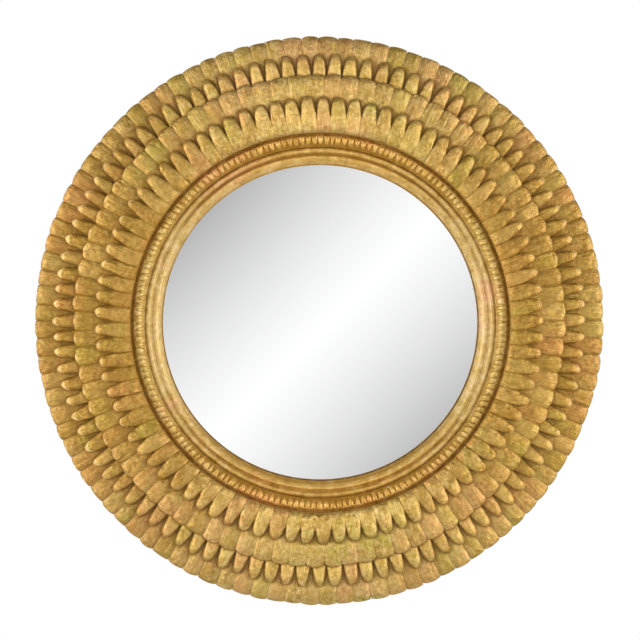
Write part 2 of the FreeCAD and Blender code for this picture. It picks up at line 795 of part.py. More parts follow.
# ---------------------------------------------------------------- wall bumpers and their screws
bumper_circle, bumper_radius = dim("bumper_circle"), dim("bumper_radius")
wall_bumpers = loose("wall_bumpers")
profile = [
    (bumper_circle + 1.5 + clearance, back),
    (bumper_circle + bumper_radius, back),
    (bumper_circle + bumper_radius, 1.2),
    (bumper_circle + bumper_radius - 1.2, 0.0),
    (bumper_circle + 4.0, 0.0),
    (bumper_circle + 4.0, 3.4),
    (bumper_circle + 1.5 + clearance, 3.4),
]
bumper = spin(wall_bumpers, profile, axis_x=bumper_circle, name="bumper")
pattern(wall_bumpers, [bumper], 4, "bumpers")
turn_about_y(wall_bumpers, 45.0)
bumper_screws = loose("bumper_screws")
screw = spin(bumper_screws, [
    (bumper_circle, 1.6),
    (bumper_circle + 2.6, 1.8),
    (bumper_circle + 3.4, 2.6),
    (bumper_circle + 3.4, 3.4),
    (bumper_circle + 1.5, 3.4),
    (bumper_circle + 1.5, 17.0),
    (bumper_circle, 20.0),
], axis_x=bumper_circle, name="screw")
slot = slot_cut(bumper_screws, bumper_circle, 0.9, 10.0, 2.5)
pattern(bumper_screws, [screw, slot], 4, "screws")
turn_about_y(bumper_screws, 45.0)

# ---------------------------------------------------------------- check and write
doc.recompute()
NODES = [
    "mirror_glass", "carcass_rear", "carcass_front", "sight_slip", "carved_band",
    "petal_ring_1", "petal_ring_2", "petal_ring_3", "petal_ring_4",
    "front_felt", "rear_felt", "retaining_hoop", "hoop_screws", "backboard",
    "carcass_dowels", "ring_dowels", "band_dowels", "slip_brads",
    "turn_button_1", "turn_button_2", "turn_button_3", "turn_button_4", "turn_button_5", "turn_button_6",
    "turn_button_screws", "strap_hanger_left", "strap_hanger_right", "d_ring_left", "d_ring_right",
    "hanger_screws", "wall_bumpers", "bumper_screws",
]
faults = []
for item in doc.Objects:
    if "Invalid" in item.State or "Error" in item.State:
        faults.append("%s (%s): %s" % (item.Name, item.Label, item.State))
shapes = {}
for name in NODES:
    found = doc.getObjectsByLabel(name)
    if len(found) != 1:
        faults.append("%s: %d objects carry this label" % (name, len(found)))
        continue
    shape = found[0].Shape
    if shape.isNull() or not shape.isValid() or not shape.Solids:
        faults.append("%s: its shape is empty or not valid" % name)
        continue
    shapes[name] = shape
if faults:
    for fault in faults:
        print("FAULT", fault)
    raise SystemExit(1)
os.makedirs("parts", exist_ok=True)
for name, shape in shapes.items():
    box = shape.BoundBox
    print("%-20s solids %3d faces %4d volume %12.1f  x %.1f %.1f  y %.1f %.1f  z %.1f %.1f" % (
        name, len(shape.Solids), len(shape.Faces), shape.Volume,
        box.XMin, box.XMax, box.YMin, box.YMax, box.ZMin, box.ZMax))
    shape.exportStep("parts/%s.step" % name)
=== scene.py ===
import math

import bpy
import numpy as np
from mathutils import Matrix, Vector
from mathutils.kdtree import KDTree


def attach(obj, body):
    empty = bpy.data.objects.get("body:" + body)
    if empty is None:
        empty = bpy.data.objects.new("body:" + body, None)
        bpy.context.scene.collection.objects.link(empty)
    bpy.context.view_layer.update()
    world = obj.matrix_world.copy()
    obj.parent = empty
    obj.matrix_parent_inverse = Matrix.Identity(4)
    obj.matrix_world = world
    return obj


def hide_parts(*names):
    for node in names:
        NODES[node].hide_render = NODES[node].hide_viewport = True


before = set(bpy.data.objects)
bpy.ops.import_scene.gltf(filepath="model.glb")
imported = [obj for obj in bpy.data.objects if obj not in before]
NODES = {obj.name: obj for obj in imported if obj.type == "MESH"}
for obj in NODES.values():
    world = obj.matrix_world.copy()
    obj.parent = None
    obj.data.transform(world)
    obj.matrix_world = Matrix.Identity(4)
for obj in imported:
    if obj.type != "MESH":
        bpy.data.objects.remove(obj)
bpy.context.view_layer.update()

MM = 0.001
TAU = 2.0 * math.pi


# ---------------------------------------------------------------- smooth noise, the same on every run
def cell_value(ix, iy, iz, seed):
    n = ix * 374761393 + iy * 668265263 + iz * 1442695041 + seed * 974634777
    n = n & 0xFFFFFFFF
    n = ((n ^ (n >> 13)) * 1274126177) & 0xFFFFFFFF
    n = ((n ^ (n >> 16)) * 2246822519) & 0xFFFFFFFF
    return (n ^ (n >> 15)) / 4294967295.0


def noise3(x, y, z, seed=0):
    """Value noise from -1 to 1 with a period of about one unit."""
    x, y, z = np.broadcast_arrays(np.asarray(x, float), np.asarray(y, float), np.asarray(z, float))
    fx, fy, fz = np.floor(x), np.floor(y), np.floor(z)
    ix, iy, iz = fx.astype(np.int64), fy.astype(np.int64), fz.astype(np.int64)
    tx, ty, tz = x - fx, y - fy, z - fz
    sx, sy, sz = (t * t * t * (t * (t * 6 - 15) + 10) for t in (tx, ty, tz))
    total = 0.0
    for dx in (0, 1):
        for dy in (0, 1):
            for dz in (0, 1):
                w = (sx if dx else 1 - sx) * (sy if dy else 1 - sy) * (sz if dz else 1 - sz)
                total = total + w * cell_value(ix + dx, iy + dy, iz + dz, seed)
    return total * 2.0 - 1.0


def fractal(x, y, z, seed=0, octaves=3, gain=0.5):
    total, amount, scale, top = 0.0, 1.0, 1.0, 0.0
    for k in range(octaves):
        total = total + amount * noise3(x * scale, y * scale, z * scale, seed + 17 * k)
        top += amount
        amount *= gain
        scale *= 2.03
    return total / top


def step(low, high, x):
    t = np.clip((np.asarray(x, float) - low) / (high - low), 0.0, 1.0)
    return t * t * (3 - 2 * t)


def curve(points, smooth=True):
    """A function through (x, y) points, with monotone cubic pieces so that it never overshoots."""
    px = np.array([p[0] for p in points], float)
    py = np.array([p[1] for p in points], float)
    h = np.diff(px)
    d = np.diff(py) / h
    m = np.zeros(len(px))
    m[0], m[-1] = d[0], d[-1]
    for i in range(1, len(px) - 1):
        if d[i - 1] * d[i] > 0:
            w1, w2 = 2 * h[i] + h[i - 1], h[i] + 2 * h[i - 1]
            m[i] = (w1 + w2) / (w1 / d[i - 1] + w2 / d[i])

    def at(x):
        x = np.clip(np.asarray(x, float), px[0], px[-1])
        i = np.clip(np.searchsorted(px, x) - 1, 0, len(h) - 1)
        t = (x - px[i]) / h[i]
        a = (1 + 2 * t) * (1 - t) ** 2
        b = t * (1 - t) ** 2
        c = t * t * (3 - 2 * t)
        e = t * t * (t - 1)
        return a * py[i] + b * h[i] * m[i] + c * py[i + 1] + e * h[i] * m[i + 1]

    return at


# ---------------------------------------------------------------- meshes
# The moulding round the glass was set a few millimetres off the centre of the outer rows; the first row takes up the difference.
OFF_CENTRE = (1.9, -3.3)


def set_off(points_mm, inner=303.0, outer=362.0):
    points = np.array(points_mm, float)
    w = 1 - step(inner, outer, np.hypot(points[:, 0], points[:, 2]))
    points[:, 0] += OFF_CENTRE[0] * w
    points[:, 2] += OFF_CENTRE[1] * w
    return points


def make_piece(name, points_mm, faces, sharp=None, **attributes):
    """A mesh object from points in millimetres (x, depth in front of the wall, z)."""
    points = np.array(points_mm, float) * MM
    points[:, 1] *= -1.0
    mesh = bpy.data.meshes.new(name)
    mesh.from_pydata(points.tolist(), [], faces)
    for key, values in attributes.items():
        values = np.asarray(values, np.float32)
        if values.ndim == 1:
            layer = mesh.attributes.new(key, "FLOAT", "POINT")
            layer.data.foreach_set("value", values)
        else:
            layer = mesh.attributes.new(key, "FLOAT_VECTOR", "POINT")
            layer.data.foreach_set("vector", values.ravel())
    mesh.shade_smooth()
    if sharp:
        mesh.set_sharp_from_angle(angle=math.radians(sharp))
    mesh.update()
    obj = bpy.data.objects.new(name, mesh)
    bpy.context.scene.collection.objects.link(obj)
    return obj


def turned(name, profile, steps, height=None, sharp=None, grime=None, place=set_off):
    """A closed ring turned about the axis. profile is a closed loop of (radius, depth) running outwards over the front
    and back behind; height moves a front point by its radius and angle."""
    r = np.array([p[0] for p in profile], float)
    d = np.array([p[1] for p in profile], float)
    angle = np.arange(steps) * TAU / steps
    rr = np.repeat(r[None, :], steps, 0)
    dd = np.repeat(d[None, :], steps, 0)
    aa = np.repeat(angle[:, None], len(r), 1)
    if height is not None:
        dr, dh = height(rr, dd, aa)
        rr, dd = rr + dr, dd + dh
    points = np.stack([rr * np.cos(aa), dd, rr * np.sin(aa)], -1).reshape(-1, 3)
    n, faces = len(r), []
    for i in range(steps):
        a, b = i * n, ((i + 1) % steps) * n
        for j in range(n):
            k = (j + 1) % n
            faces.append((a + j, a + k, b + k, b + j))
    flow = np.stack([aa * 280.0, rr + 1.3 * dd, np.zeros_like(rr)], -1).reshape(-1, 3)
    g = np.zeros(rr.shape) if grime is None else grime(rr, dd, aa)
    return make_piece(name, place(points), faces, sharp=sharp, grime=g.ravel(), flow=flow, tone=np.zeros(rr.size), crest=np.zeros(rr.size))


# ---------------------------------------------------------------- carved petal rings
# A ring is one closed mesh. Petals share their side edges up to the notch between them, and stand apart from there to
# their tips. Each petal has its own small errors, as hand carving does.
def petal_ring(name, count, first, r_in, base, tip, side, notch, open_share, low, high, across, crest_line, edge_line,
               section, seed, jitter, grime_at=None, tip_power=(2.0, 0.5), dip=None, vein=0.0):
    rng = np.random.default_rng(seed)
    pitch = TAU / count
    edge = first + pitch * (np.arange(count) + 0.5) + pitch * jitter["edge"] * rng.uniform(-1, 1, count)
    notch_k = notch + jitter["notch"] * rng.uniform(-1, 1, count)
    edge_dh = jitter["edge_height"] * rng.uniform(-1, 1, count)
    tips = tip + jitter["tip"] * rng.uniform(-1, 1, count)
    sides = side + jitter["tip"] * rng.uniform(-1, 1, (count, 2))
    lean = jitter["lean"] * rng.uniform(-1, 1, count)
    lift = jitter["lift"] * rng.uniform(-1, 1, count)
    tilt = jitter["tilt"] * rng.uniform(-1, 1, count)
    gaps = open_share * (1 + jitter["gap"] * rng.uniform(-1, 1, (count, 2)))
    skew = jitter["skew"] * rng.uniform(-1, 1, count)
    tone = rng.uniform(-1, 1, count)
    round_up = rng.uniform(0.85, 1.18, count)

    u = np.sin(0.5 * math.pi * np.linspace(-1, 1, across + 1))
    if section["kind"] == "flat":
        u = 0.55 * u + 0.45 * np.linspace(-1, 1, across + 1)
    low, high = np.array(low, float), np.array(high, float)
    nl, nh = len(low), len(high)
    rows = nl + nh
    points, grime, flow, tones, crests = [], [], [], [], []
    index = np.zeros((count, across + 1, rows), int)
    total = 0
    share = np.concatenate([low, np.ones(nh)])
    t = np.concatenate([np.zeros(nl), high])
    uu, ss = np.meshgrid(u, share, indexing="ij")
    _, tt = np.meshgrid(u, t, indexing="ij")
    au = np.abs(uu)
    is_low = tt <= 0
    for i in range(count):
        left, right = (i - 1) % count, i
        a0 = edge[left] - (TAU if left > i else 0.0)
        a1 = edge[right]
        centre, half = 0.5 * (a0 + a1), 0.5 * (a1 - a0)
        mix = 0.5 * (uu + 1)
        n_line = notch_k[left] * (1 - mix) + notch_k[right] * mix
        side_line = sides[i, 0] * (1 - mix) + sides[i, 1] * mix
        w = np.clip(uu + skew[i] * (1 - uu * uu), -1, 1)
        tip_line = side_line + (tips[i] - side_line) * (1 - np.abs(w) ** tip_power[0]) ** tip_power[1]
        rho = np.where(is_low, r_in + (n_line - r_in) * ss, n_line + (tip_line - n_line) * tt)
        gap = np.where(uu < 0, gaps[i, 0], gaps[i, 1])
        g = 1 - gap * tt ** 0.85 * np.minimum(1.0, au * 1.4)
        past = np.clip((rho - n_line) / (tip - notch), 0, 1.2)
        theta = centre + half * uu * g + lean[i] * half * past * (1 - 0.0 * au)
        low_edge = edge_line(rho) + np.where(uu < 0, edge_dh[left], edge_dh[right])
        shift = (tips[i] - tip) * step(notch, tip, rho)
        top = crest_line(rho - shift) + lift[i] + tilt[i] * uu
        if section["kind"] == "round":
            s = (1 - au ** section["p"]) ** (section["q"] * round_up[i])
        else:
            c = section["crown"]
            s = 1 - c * au ** 2.2 - (1 - c) * step(section["from"], 1.0, au)
        s = s * (1 - tt ** section["tip_m"]) ** section["tip_n"]
        depth = low_edge + (top - low_edge) * s
        x, z = rho * np.cos(theta), rho * np.sin(theta)
        inside = np.minimum(1.0, 3.0 * (1 - au)) * np.where(is_low, np.minimum(1.0, 6 * ss), np.minimum(1.0, 4 * (1 - tt)))
        carved = fractal(x / 6.0, z / 6.0, 0.0, seed + 5, 3, 0.6) + 0.8 * noise3(x / 19.0, z / 19.0, 0.0, seed + 6)
        depth = depth + section["rough"] * carved * (0.35 + 0.65 * inside)
        lateral = rho * half * uu
        depth = depth + vein * inside * noise3(lateral / 1.9 + 40.0 * i, rho / 22.0, 0.0, seed + 9)
        if dip is not None:
            depth = depth - dip(x, z)
        # Painted shade, with some real toning: darker along the division lines and low edges, more so at the two sides
        # and thinner towards the lower right, and darker at the tips at the top and foot, where little light falls.
        line = np.where(is_low, section["low_grime"] * (0.4 + 0.6 * step(0.6, 1.0, ss)), section["line_grime"])
        at_side = sideways(x, z)
        gr = np.maximum(line * (1 + 0.95 * at_side) * (1 - 0.45 * lower_right_weight(x, z)) * step(section["grime_from"] - 0.10 * at_side, 1.0, au), section["tip_grime"] * (1 - 0.8 * at_side) * step(0.90, 1.0, tt))
        if grime_at is not None:
            gr = np.maximum(gr, grime_at(x, z, rho))
        # Painted highlight: pale rims on the petal tips at the two sides, stronger on the left, stored as negative
        # values of the attribute.
        painted_rim_highlight = at_side * np.where(x < 0, 0.95, 0.60) * step(section.get("rim", 0.78), 0.97, tt) * step(*section.get("rim_from", (-0.1, 0.35)), 1 - au)
        gr = gr * (1 - painted_rim_highlight) - painted_rim_highlight
        ids = index[i]
        for a in range(across + 1):
            for b in range(rows):
                shared_left = a == 0 and b < nl
                if shared_left and i > 0:
                    ids[a, b] = index[i - 1, across, b]
                    continue
                if a == across and b < nl and i == count - 1:
                    ids[a, b] = index[0, 0, b]
                    continue
                ids[a, b] = total
                total += 1
                points.append((x[a, b], depth[a, b], z[a, b]))
                grime.append(gr[a, b])
                flow.append((rho[a, b], lateral[a, b] + 61.0 * i, i * 7.3))
                tones.append(tone[i])
                crests.append(s[a, b])
    faces = []
    for i in range(count):
        ids = index[i]
        for a in range(across):
            for b in range(rows - 1):
                faces.append((ids[a, b], ids[a, b + 1], ids[a + 1, b + 1], ids[a + 1, b]))
    # walls and underside, whose points all carry full painted shade
    twin = {}
    pts = points

    def under(k, pull=0.0, centre=None):
        if k not in twin:
            x, _, z = pts[k]
            if pull and centre is not None:
                x, z = x + (centre[0] - x) * pull, z + (centre[1] - z) * pull
            twin[k] = len(points)
            points.append((x, base, z))
            grime.append(1.0)
            flow.append(flow[k])
            tones.append(tones[k])
            crests.append(0.0)
        return twin[k]

    for i in range(count):
        ids = index[i]
        mid = points[ids[across // 2, nl - 1 + nh // 2]]
        middle = (mid[0], mid[2])
        loop = [ids[0, b] for b in range(nl - 1, rows)]
        loop += [ids[a, rows - 1] for a in range(1, across + 1)]
        loop += [ids[across, b] for b in range(rows - 2, nl - 2, -1)]
        inner = [ids[a, 0] for a in range(across + 1)]
        for k in (loop[0], loop[-1], *inner):
            under(k)
        for k in loop[1:-1]:
            under(k, section["undercut"], middle)
        for a, b in zip(loop, loop[1:]):
            faces.append((a, twin[a], twin[b], b))
        for a, b in zip(inner, inner[1:]):
            faces.append((b, twin[b], twin[a], a))
        faces.append(tuple(twin[k] for k in inner + loop[::-1]))
    return make_piece(name, set_off(points), [tuple(int(k) for k in f) for f in faces], sharp=48, grime=grime, flow=flow, tone=tones, crest=crests), edge, tips, sides, notch_k, gaps


def ring_outline(count, edge, tips, sides, notch_k, gaps, tip_power, samples=40):
    """Points along the open outline of a petal ring, for what lies close beside it."""
    found = []
    for i in range(count):
        left, right = (i - 1) % count, i
        a0 = edge[left] - (TAU if left > i else 0.0)
        a1 = edge[right]
        centre, half = 0.5 * (a0 + a1), 0.5 * (a1 - a0)
        for v in np.linspace(0, 1, 12):
            for s, k in ((-1, 0), (1, 1)):
                n = notch_k[left] if s < 0 else notch_k[right]
                rho = n + (sides[i, k] - n) * v
                th = centre + s * half * (1 - gaps[i, k] * v ** 0.85)
                found.append((rho * math.cos(th), rho * math.sin(th)))
        for uu in np.sin(0.5 * math.pi * np.linspace(-1, 1, samples)):
            side = sides[i, 0] * (0.5 - 0.5 * uu) + sides[i, 1] * (0.5 + 0.5 * uu)
            rho = side + (tips[i] - side) * (1 - abs(uu) ** tip_power[0]) ** tip_power[1]
            gap = gaps[i, 0] if uu < 0 else gaps[i, 1]
            th = centre + half * uu * (1 - gap * min(1.0, abs(uu) * 1.4))
            found.append((rho * math.cos(th), rho * math.sin(th)))
    tree = KDTree(len(found))
    for k, (x, z) in enumerate(found):
        tree.insert((x, 0.0, z), k)
    tree.balance()

    def distance(x, z):
        flat = np.array([tree.find((a, 0.0, b))[2] for a, b in zip(np.ravel(x), np.ravel(z))])
        return flat.reshape(np.shape(x))

    return distance


def sideways(x, z):
    """1 at the two sides of the frame, 0 at its top and foot."""
    return step(0.42, 0.66, np.abs(x) / (np.abs(x) + np.abs(z) + 1e-6))


def lower_right_weight(x, z):
    """1 on the right and a little below, fading to 0 elsewhere: there the painted shade is thinner and the dips beside
    the tips are shallower.
    """
    return step(0.40, 0.90, (0.966 * x - 0.259 * z) / (np.hypot(x, z) + 1e-6))


JITTER = {"edge": 0.06, "notch": 2.4, "edge_height": 0.4, "tip": 1.6, "lean": 0.09, "lift": 0.6, "tilt": 0.65, "gap": 0.34, "skew": 0.14}
LOW = [0, 0.02, 0.05, 0.09, 0.14, 0.20, 0.28, 0.37, 0.47, 0.57, 0.67, 0.77, 0.87, 0.94, 1.0]
HIGH = [0.08, 0.18, 0.29, 0.40, 0.51, 0.61, 0.70, 0.78, 0.85, 0.905, 0.945, 0.972, 0.99, 1.0]

# The first row's lambda paints shade in the groove at its inner edge and over the petal bases at the two sides, heavier
# on the left.
ring_1, *shape_1 = petal_ring(
    "petals_row_1", 85, 0.0, 303.0, 71.7, 358.4, 343.5, 331.0, 0.19, LOW, HIGH, 18,
    curve([(303, 74.5), (304.5, 77.2), (308, 79.8), (314, 81.8), (322, 82.9), (332, 83.3), (342, 83.1), (350, 82.4), (354.5, 81.2), (357, 79.2), (359.5, 75.2)]),
    curve([(303, 73.4), (306, 76.5), (311, 79.1), (318, 80.6), (325, 80.8), (331, 79.6), (337, 78.0), (345, 76.2), (360, 73.6)]),
    {"kind": "round", "p": 2.3, "q": 0.56, "tip_m": 12.0, "tip_n": 0.6, "rough": 0.85, "line_grime": 0.5, "low_grime": 0.55, "grime_from": 0.84, "tip_grime": 0.3, "undercut": 0.07},
    11, JITTER, tip_power=(1.85, 0.68), vein=0.38,
    grime_at=lambda x, z, rho: np.maximum(0.5 * (1 - step(303.0, 305.4, rho)), np.where(x < 0, 0.75, 0.4) * sideways(x, z) * (1 - step(303.0, 316.0, rho))))
near_1 = ring_outline(85, *shape_1, (1.85, 0.68))


# Painted shadow on the second row: dark round the first row's tips and in the gaps between them, weaker at the sides
# and towards the lower right, and dark where the second row lies beneath the first.
def shade_1(x, z, rho):
    d = near_1(x, z)
    return (1 - 0.55 * lower_right_weight(x, z)) * np.maximum((0.78 - 0.22 * sideways(x, z)) * np.exp(-(d / 2.0) ** 2), (0.62 - 0.45 * sideways(x, z)) * (1 - step(344, 356, rho)))


pitch_a = TAU / 85
FLAT = {"kind": "flat", "rim": 0.25, "rim_from": (0.10, 1.25), "crown": 0.84, "from": 0.88, "tip_m": 9.0, "tip_n": 0.8, "rough": 0.95, "line_grime": 0.35, "low_grime": 0.35, "grime_from": 0.90, "tip_grime": 0.3, "undercut": 0.02}
ring_2, *shape_2 = petal_ring(
    "petals_row_2", 85, 0.5 * pitch_a, 303.0, 61.7, 394.5, 390.3, 387.0, 0.05,
    [0, 0.30, 0.36, 0.42, 0.48, 0.54, 0.59, 0.64, 0.69, 0.74, 0.79, 0.84, 0.89, 0.94, 0.975, 1.0], [0.15, 0.3, 0.45, 0.6, 0.73, 0.84, 0.92, 0.97, 1.0], 18,
    curve([(303, 72.0), (350, 72.0), (358, 71.9), (368, 71.6), (378, 70.9), (385, 69.9), (390, 68.5), (393, 67.0), (396, 64.9)]),
    curve([(303, 72.0), (340, 71.8), (352, 70.6), (358, 70.1), (368, 69.6), (378, 68.7), (385, 67.3), (390, 65.6), (396, 62.9)]),
    FLAT, 23, {**JITTER, "edge": 0.07, "notch": 0.8, "tip": 1.2, "gap": 0.4, "edge_height": 0.0, "tilt": 0.45, "lift": 0.0}, tip_power=(2.4, 0.9), vein=0.30,
    grime_at=shade_1, dip=lambda x, z: (1.5 - 1.2 * lower_right_weight(x, z)) * np.exp(-(near_1(x, z) / 2.4) ** 2) * (np.hypot(x, z) > 329))
near_2 = ring_outline(85, *shape_2, (2.4, 0.9))


# Painted shadow on the third row: dark round the second row's scalloped edge and where the third row lies beneath it.
def shade_2(x, z, rho):
    d = near_2(x, z)
    return np.maximum(0.95 * np.exp(-(d / 1.9) ** 2), 0.8 * (1 - step(384, 392, rho)))


pitch_b = TAU / 100
ring_3, *shape_3 = petal_ring(
    "petals_row_3", 100, 0.0, 303.0, 51.7, 428.0, 411.5, 386.5, 0.25,
    [0, 0.35, 0.60, 0.80, 0.90, 0.96, 1.0], [0.06, 0.12, 0.18, 0.24, 0.30, 0.37, 0.44, 0.51, 0.58, 0.65, 0.72, 0.78, 0.84, 0.89, 0.93, 0.96, 0.985, 1.0], 16,
    curve([(303, 62.0), (392, 62.0), (398, 62.7), (406, 63.1), (414, 62.8), (420, 61.9), (424, 60.3), (426.5, 58.0), (429, 54.6)]),
    curve([(303, 62.0), (380, 61.5), (388, 59.5), (396, 58.0), (408, 56.8), (418, 55.2), (430, 53.0)]),
    {"kind": "round", "p": 2.5, "q": 0.54, "tip_m": 12.0, "tip_n": 0.6, "rough": 0.75, "line_grime": 0.5, "low_grime": 0.5, "grime_from": 0.82, "tip_grime": 0.3, "undercut": 0.07},
    37, {**JITTER, "lift": 0.0, "edge_height": 0.0, "tip": 1.4}, tip_power=(1.6, 0.68), vein=0.30, grime_at=shade_2)
near_3 = ring_outline(100, *shape_3, (1.6, 0.68))


# Painted shadow on the fourth row: dark round the third row's tips and in the gaps between them, weaker at the sides
# and towards the lower right, and dark where the fourth row lies beneath the third.
def shade_3(x, z, rho):
    d = near_3(x, z)
    return (1 - 0.55 * lower_right_weight(x, z)) * np.maximum((0.78 - 0.22 * sideways(x, z)) * np.exp(-(d / 2.0) ** 2), (0.62 - 0.45 * sideways(x, z)) * (1 - step(406, 417, rho)))


ring_4, *shape_4 = petal_ring(
    "petals_row_4", 100, 0.5 * pitch_b, 303.0, 42.0, 457.0, 455.0, 452.6, 0.035,
    [0, 0.35, 0.58, 0.64, 0.69, 0.735, 0.78, 0.82, 0.86, 0.90, 0.935, 0.965, 0.985, 1.0], [0.15, 0.3, 0.45, 0.6, 0.73, 0.84, 0.92, 0.97, 1.0], 16,
    curve([(303, 52.0), (412, 52.0), (424, 51.9), (434, 51.5), (444, 50.5), (450, 49.2), (454, 47.6), (458, 45.4)]),
    curve([(303, 52.0), (400, 51.8), (412, 50.8), (424, 50.1), (434, 49.5), (444, 48.2), (450, 46.6), (458, 43.4)]),
    FLAT, 41, {**JITTER, "edge": 0.07, "notch": 0.7, "tip": 0.9, "gap": 0.4, "edge_height": 0.0, "tilt": 0.45, "lift": 0.0}, tip_power=(2.2, 0.9), vein=0.30,
    grime_at=shade_3, dip=lambda x, z: (1.3 - 1.0 * lower_right_weight(x, z)) * np.exp(-(near_3(x, z) / 2.4) ** 2) * (np.hypot(x, z) > 386))

# ---------------------------------------------------------------- slip: sight edge, lip, hollow and bead
def arc(centre_r, centre_d, radius_r, radius_d, from_deg, to_deg, n):
    a = np.radians(np.linspace(from_deg, to_deg, n))
    return [(centre_r - radius_r * math.cos(k), centre_d + radius_d * math.sin(k)) for k in a]


slip_profile = [(254.3, 42.3), (254.35, 42.9), (254.7, 43.5), (255.4, 44.1)]
lip_line = curve([(255.4, 44.1), (257.0, 46.4), (258.8, 49.4), (260.6, 51.9), (262.6, 53.8), (264.8, 54.8), (266.8, 54.6), (268.3, 53.6), (269.4, 52.6), (270.2, 52.3),
                  (271.0, 52.6), (272.2, 53.8), (273.6, 55.5), (275.2, 56.6), (276.8, 56.8), (278.4, 56.1), (279.8, 54.9), (280.9, 54.1), (281.6, 53.8)])
slip_profile += [(r, float(lip_line(r))) for r in np.linspace(255.9, 281.5, 60)]
slip_profile += [(281.7, 51.4), (281.7, 47.0), (281.7, 42.05), (275.0, 42.05), (268.0, 42.05), (260.0, 42.1)]


def slip_wobble(r, d, a):
    """Gesso over turned wood: slow waves along the lip and bead, and rubbed places."""
    front = step(44.0, 47.0, d)
    slow = fractal(np.cos(a) * 9, np.sin(a) * 9, r / 30.0, 71, 3)
    quick = fractal(np.cos(a) * 70, np.sin(a) * 70, r / 6.0, 72, 2)
    upright = 1 - sideways(np.cos(a), np.sin(a))
    worn = upright * (2.2 * np.exp(-((r - 270.2) / 1.6) ** 2) + 1.8 * np.exp(-((r - 281.9) / 1.5) ** 2))
    return 0.22 * slow * front * (r > 254) * (r < 280), (0.28 * slow + 0.16 * quick - worn) * front


# Painted shade on the moulding, with some real toning: in the hollow and in the valley by the bead, strongest at the
# top, weaker at the foot and slight at the sides; also at the sight edge, on the inner slope at the foot, and full on
# the back.
def slip_grime(r, d, a):
    flank = sideways(np.cos(a), np.sin(a))
    foot = (1 - flank) * (np.sin(a) < 0)
    g = np.maximum(0.5 * (1 - step(255.0, 257.4, r)), (0.95 - 0.93 * flank - 0.6 * foot) * np.exp(-((r - 270.2) / 2.4) ** 2))
    g = np.maximum(g, (1.0 - 0.92 * flank - 0.5 * foot) * np.exp(-((r - 281.9) / 2.2) ** 2))
    g = np.maximum(g, foot * (1 - step(257.5, 263.0, r)))
    return np.where(d < 43.6, 1.0, g)


slip = turned("gilded_slip", slip_profile, 900, slip_wobble, sharp=60, grime=slip_grime)

# ---------------------------------------------------------------- carved band: a half-round with leaf tips that reach inwards
LEAVES = 186
BAND_STEPS = LEAVES * 11


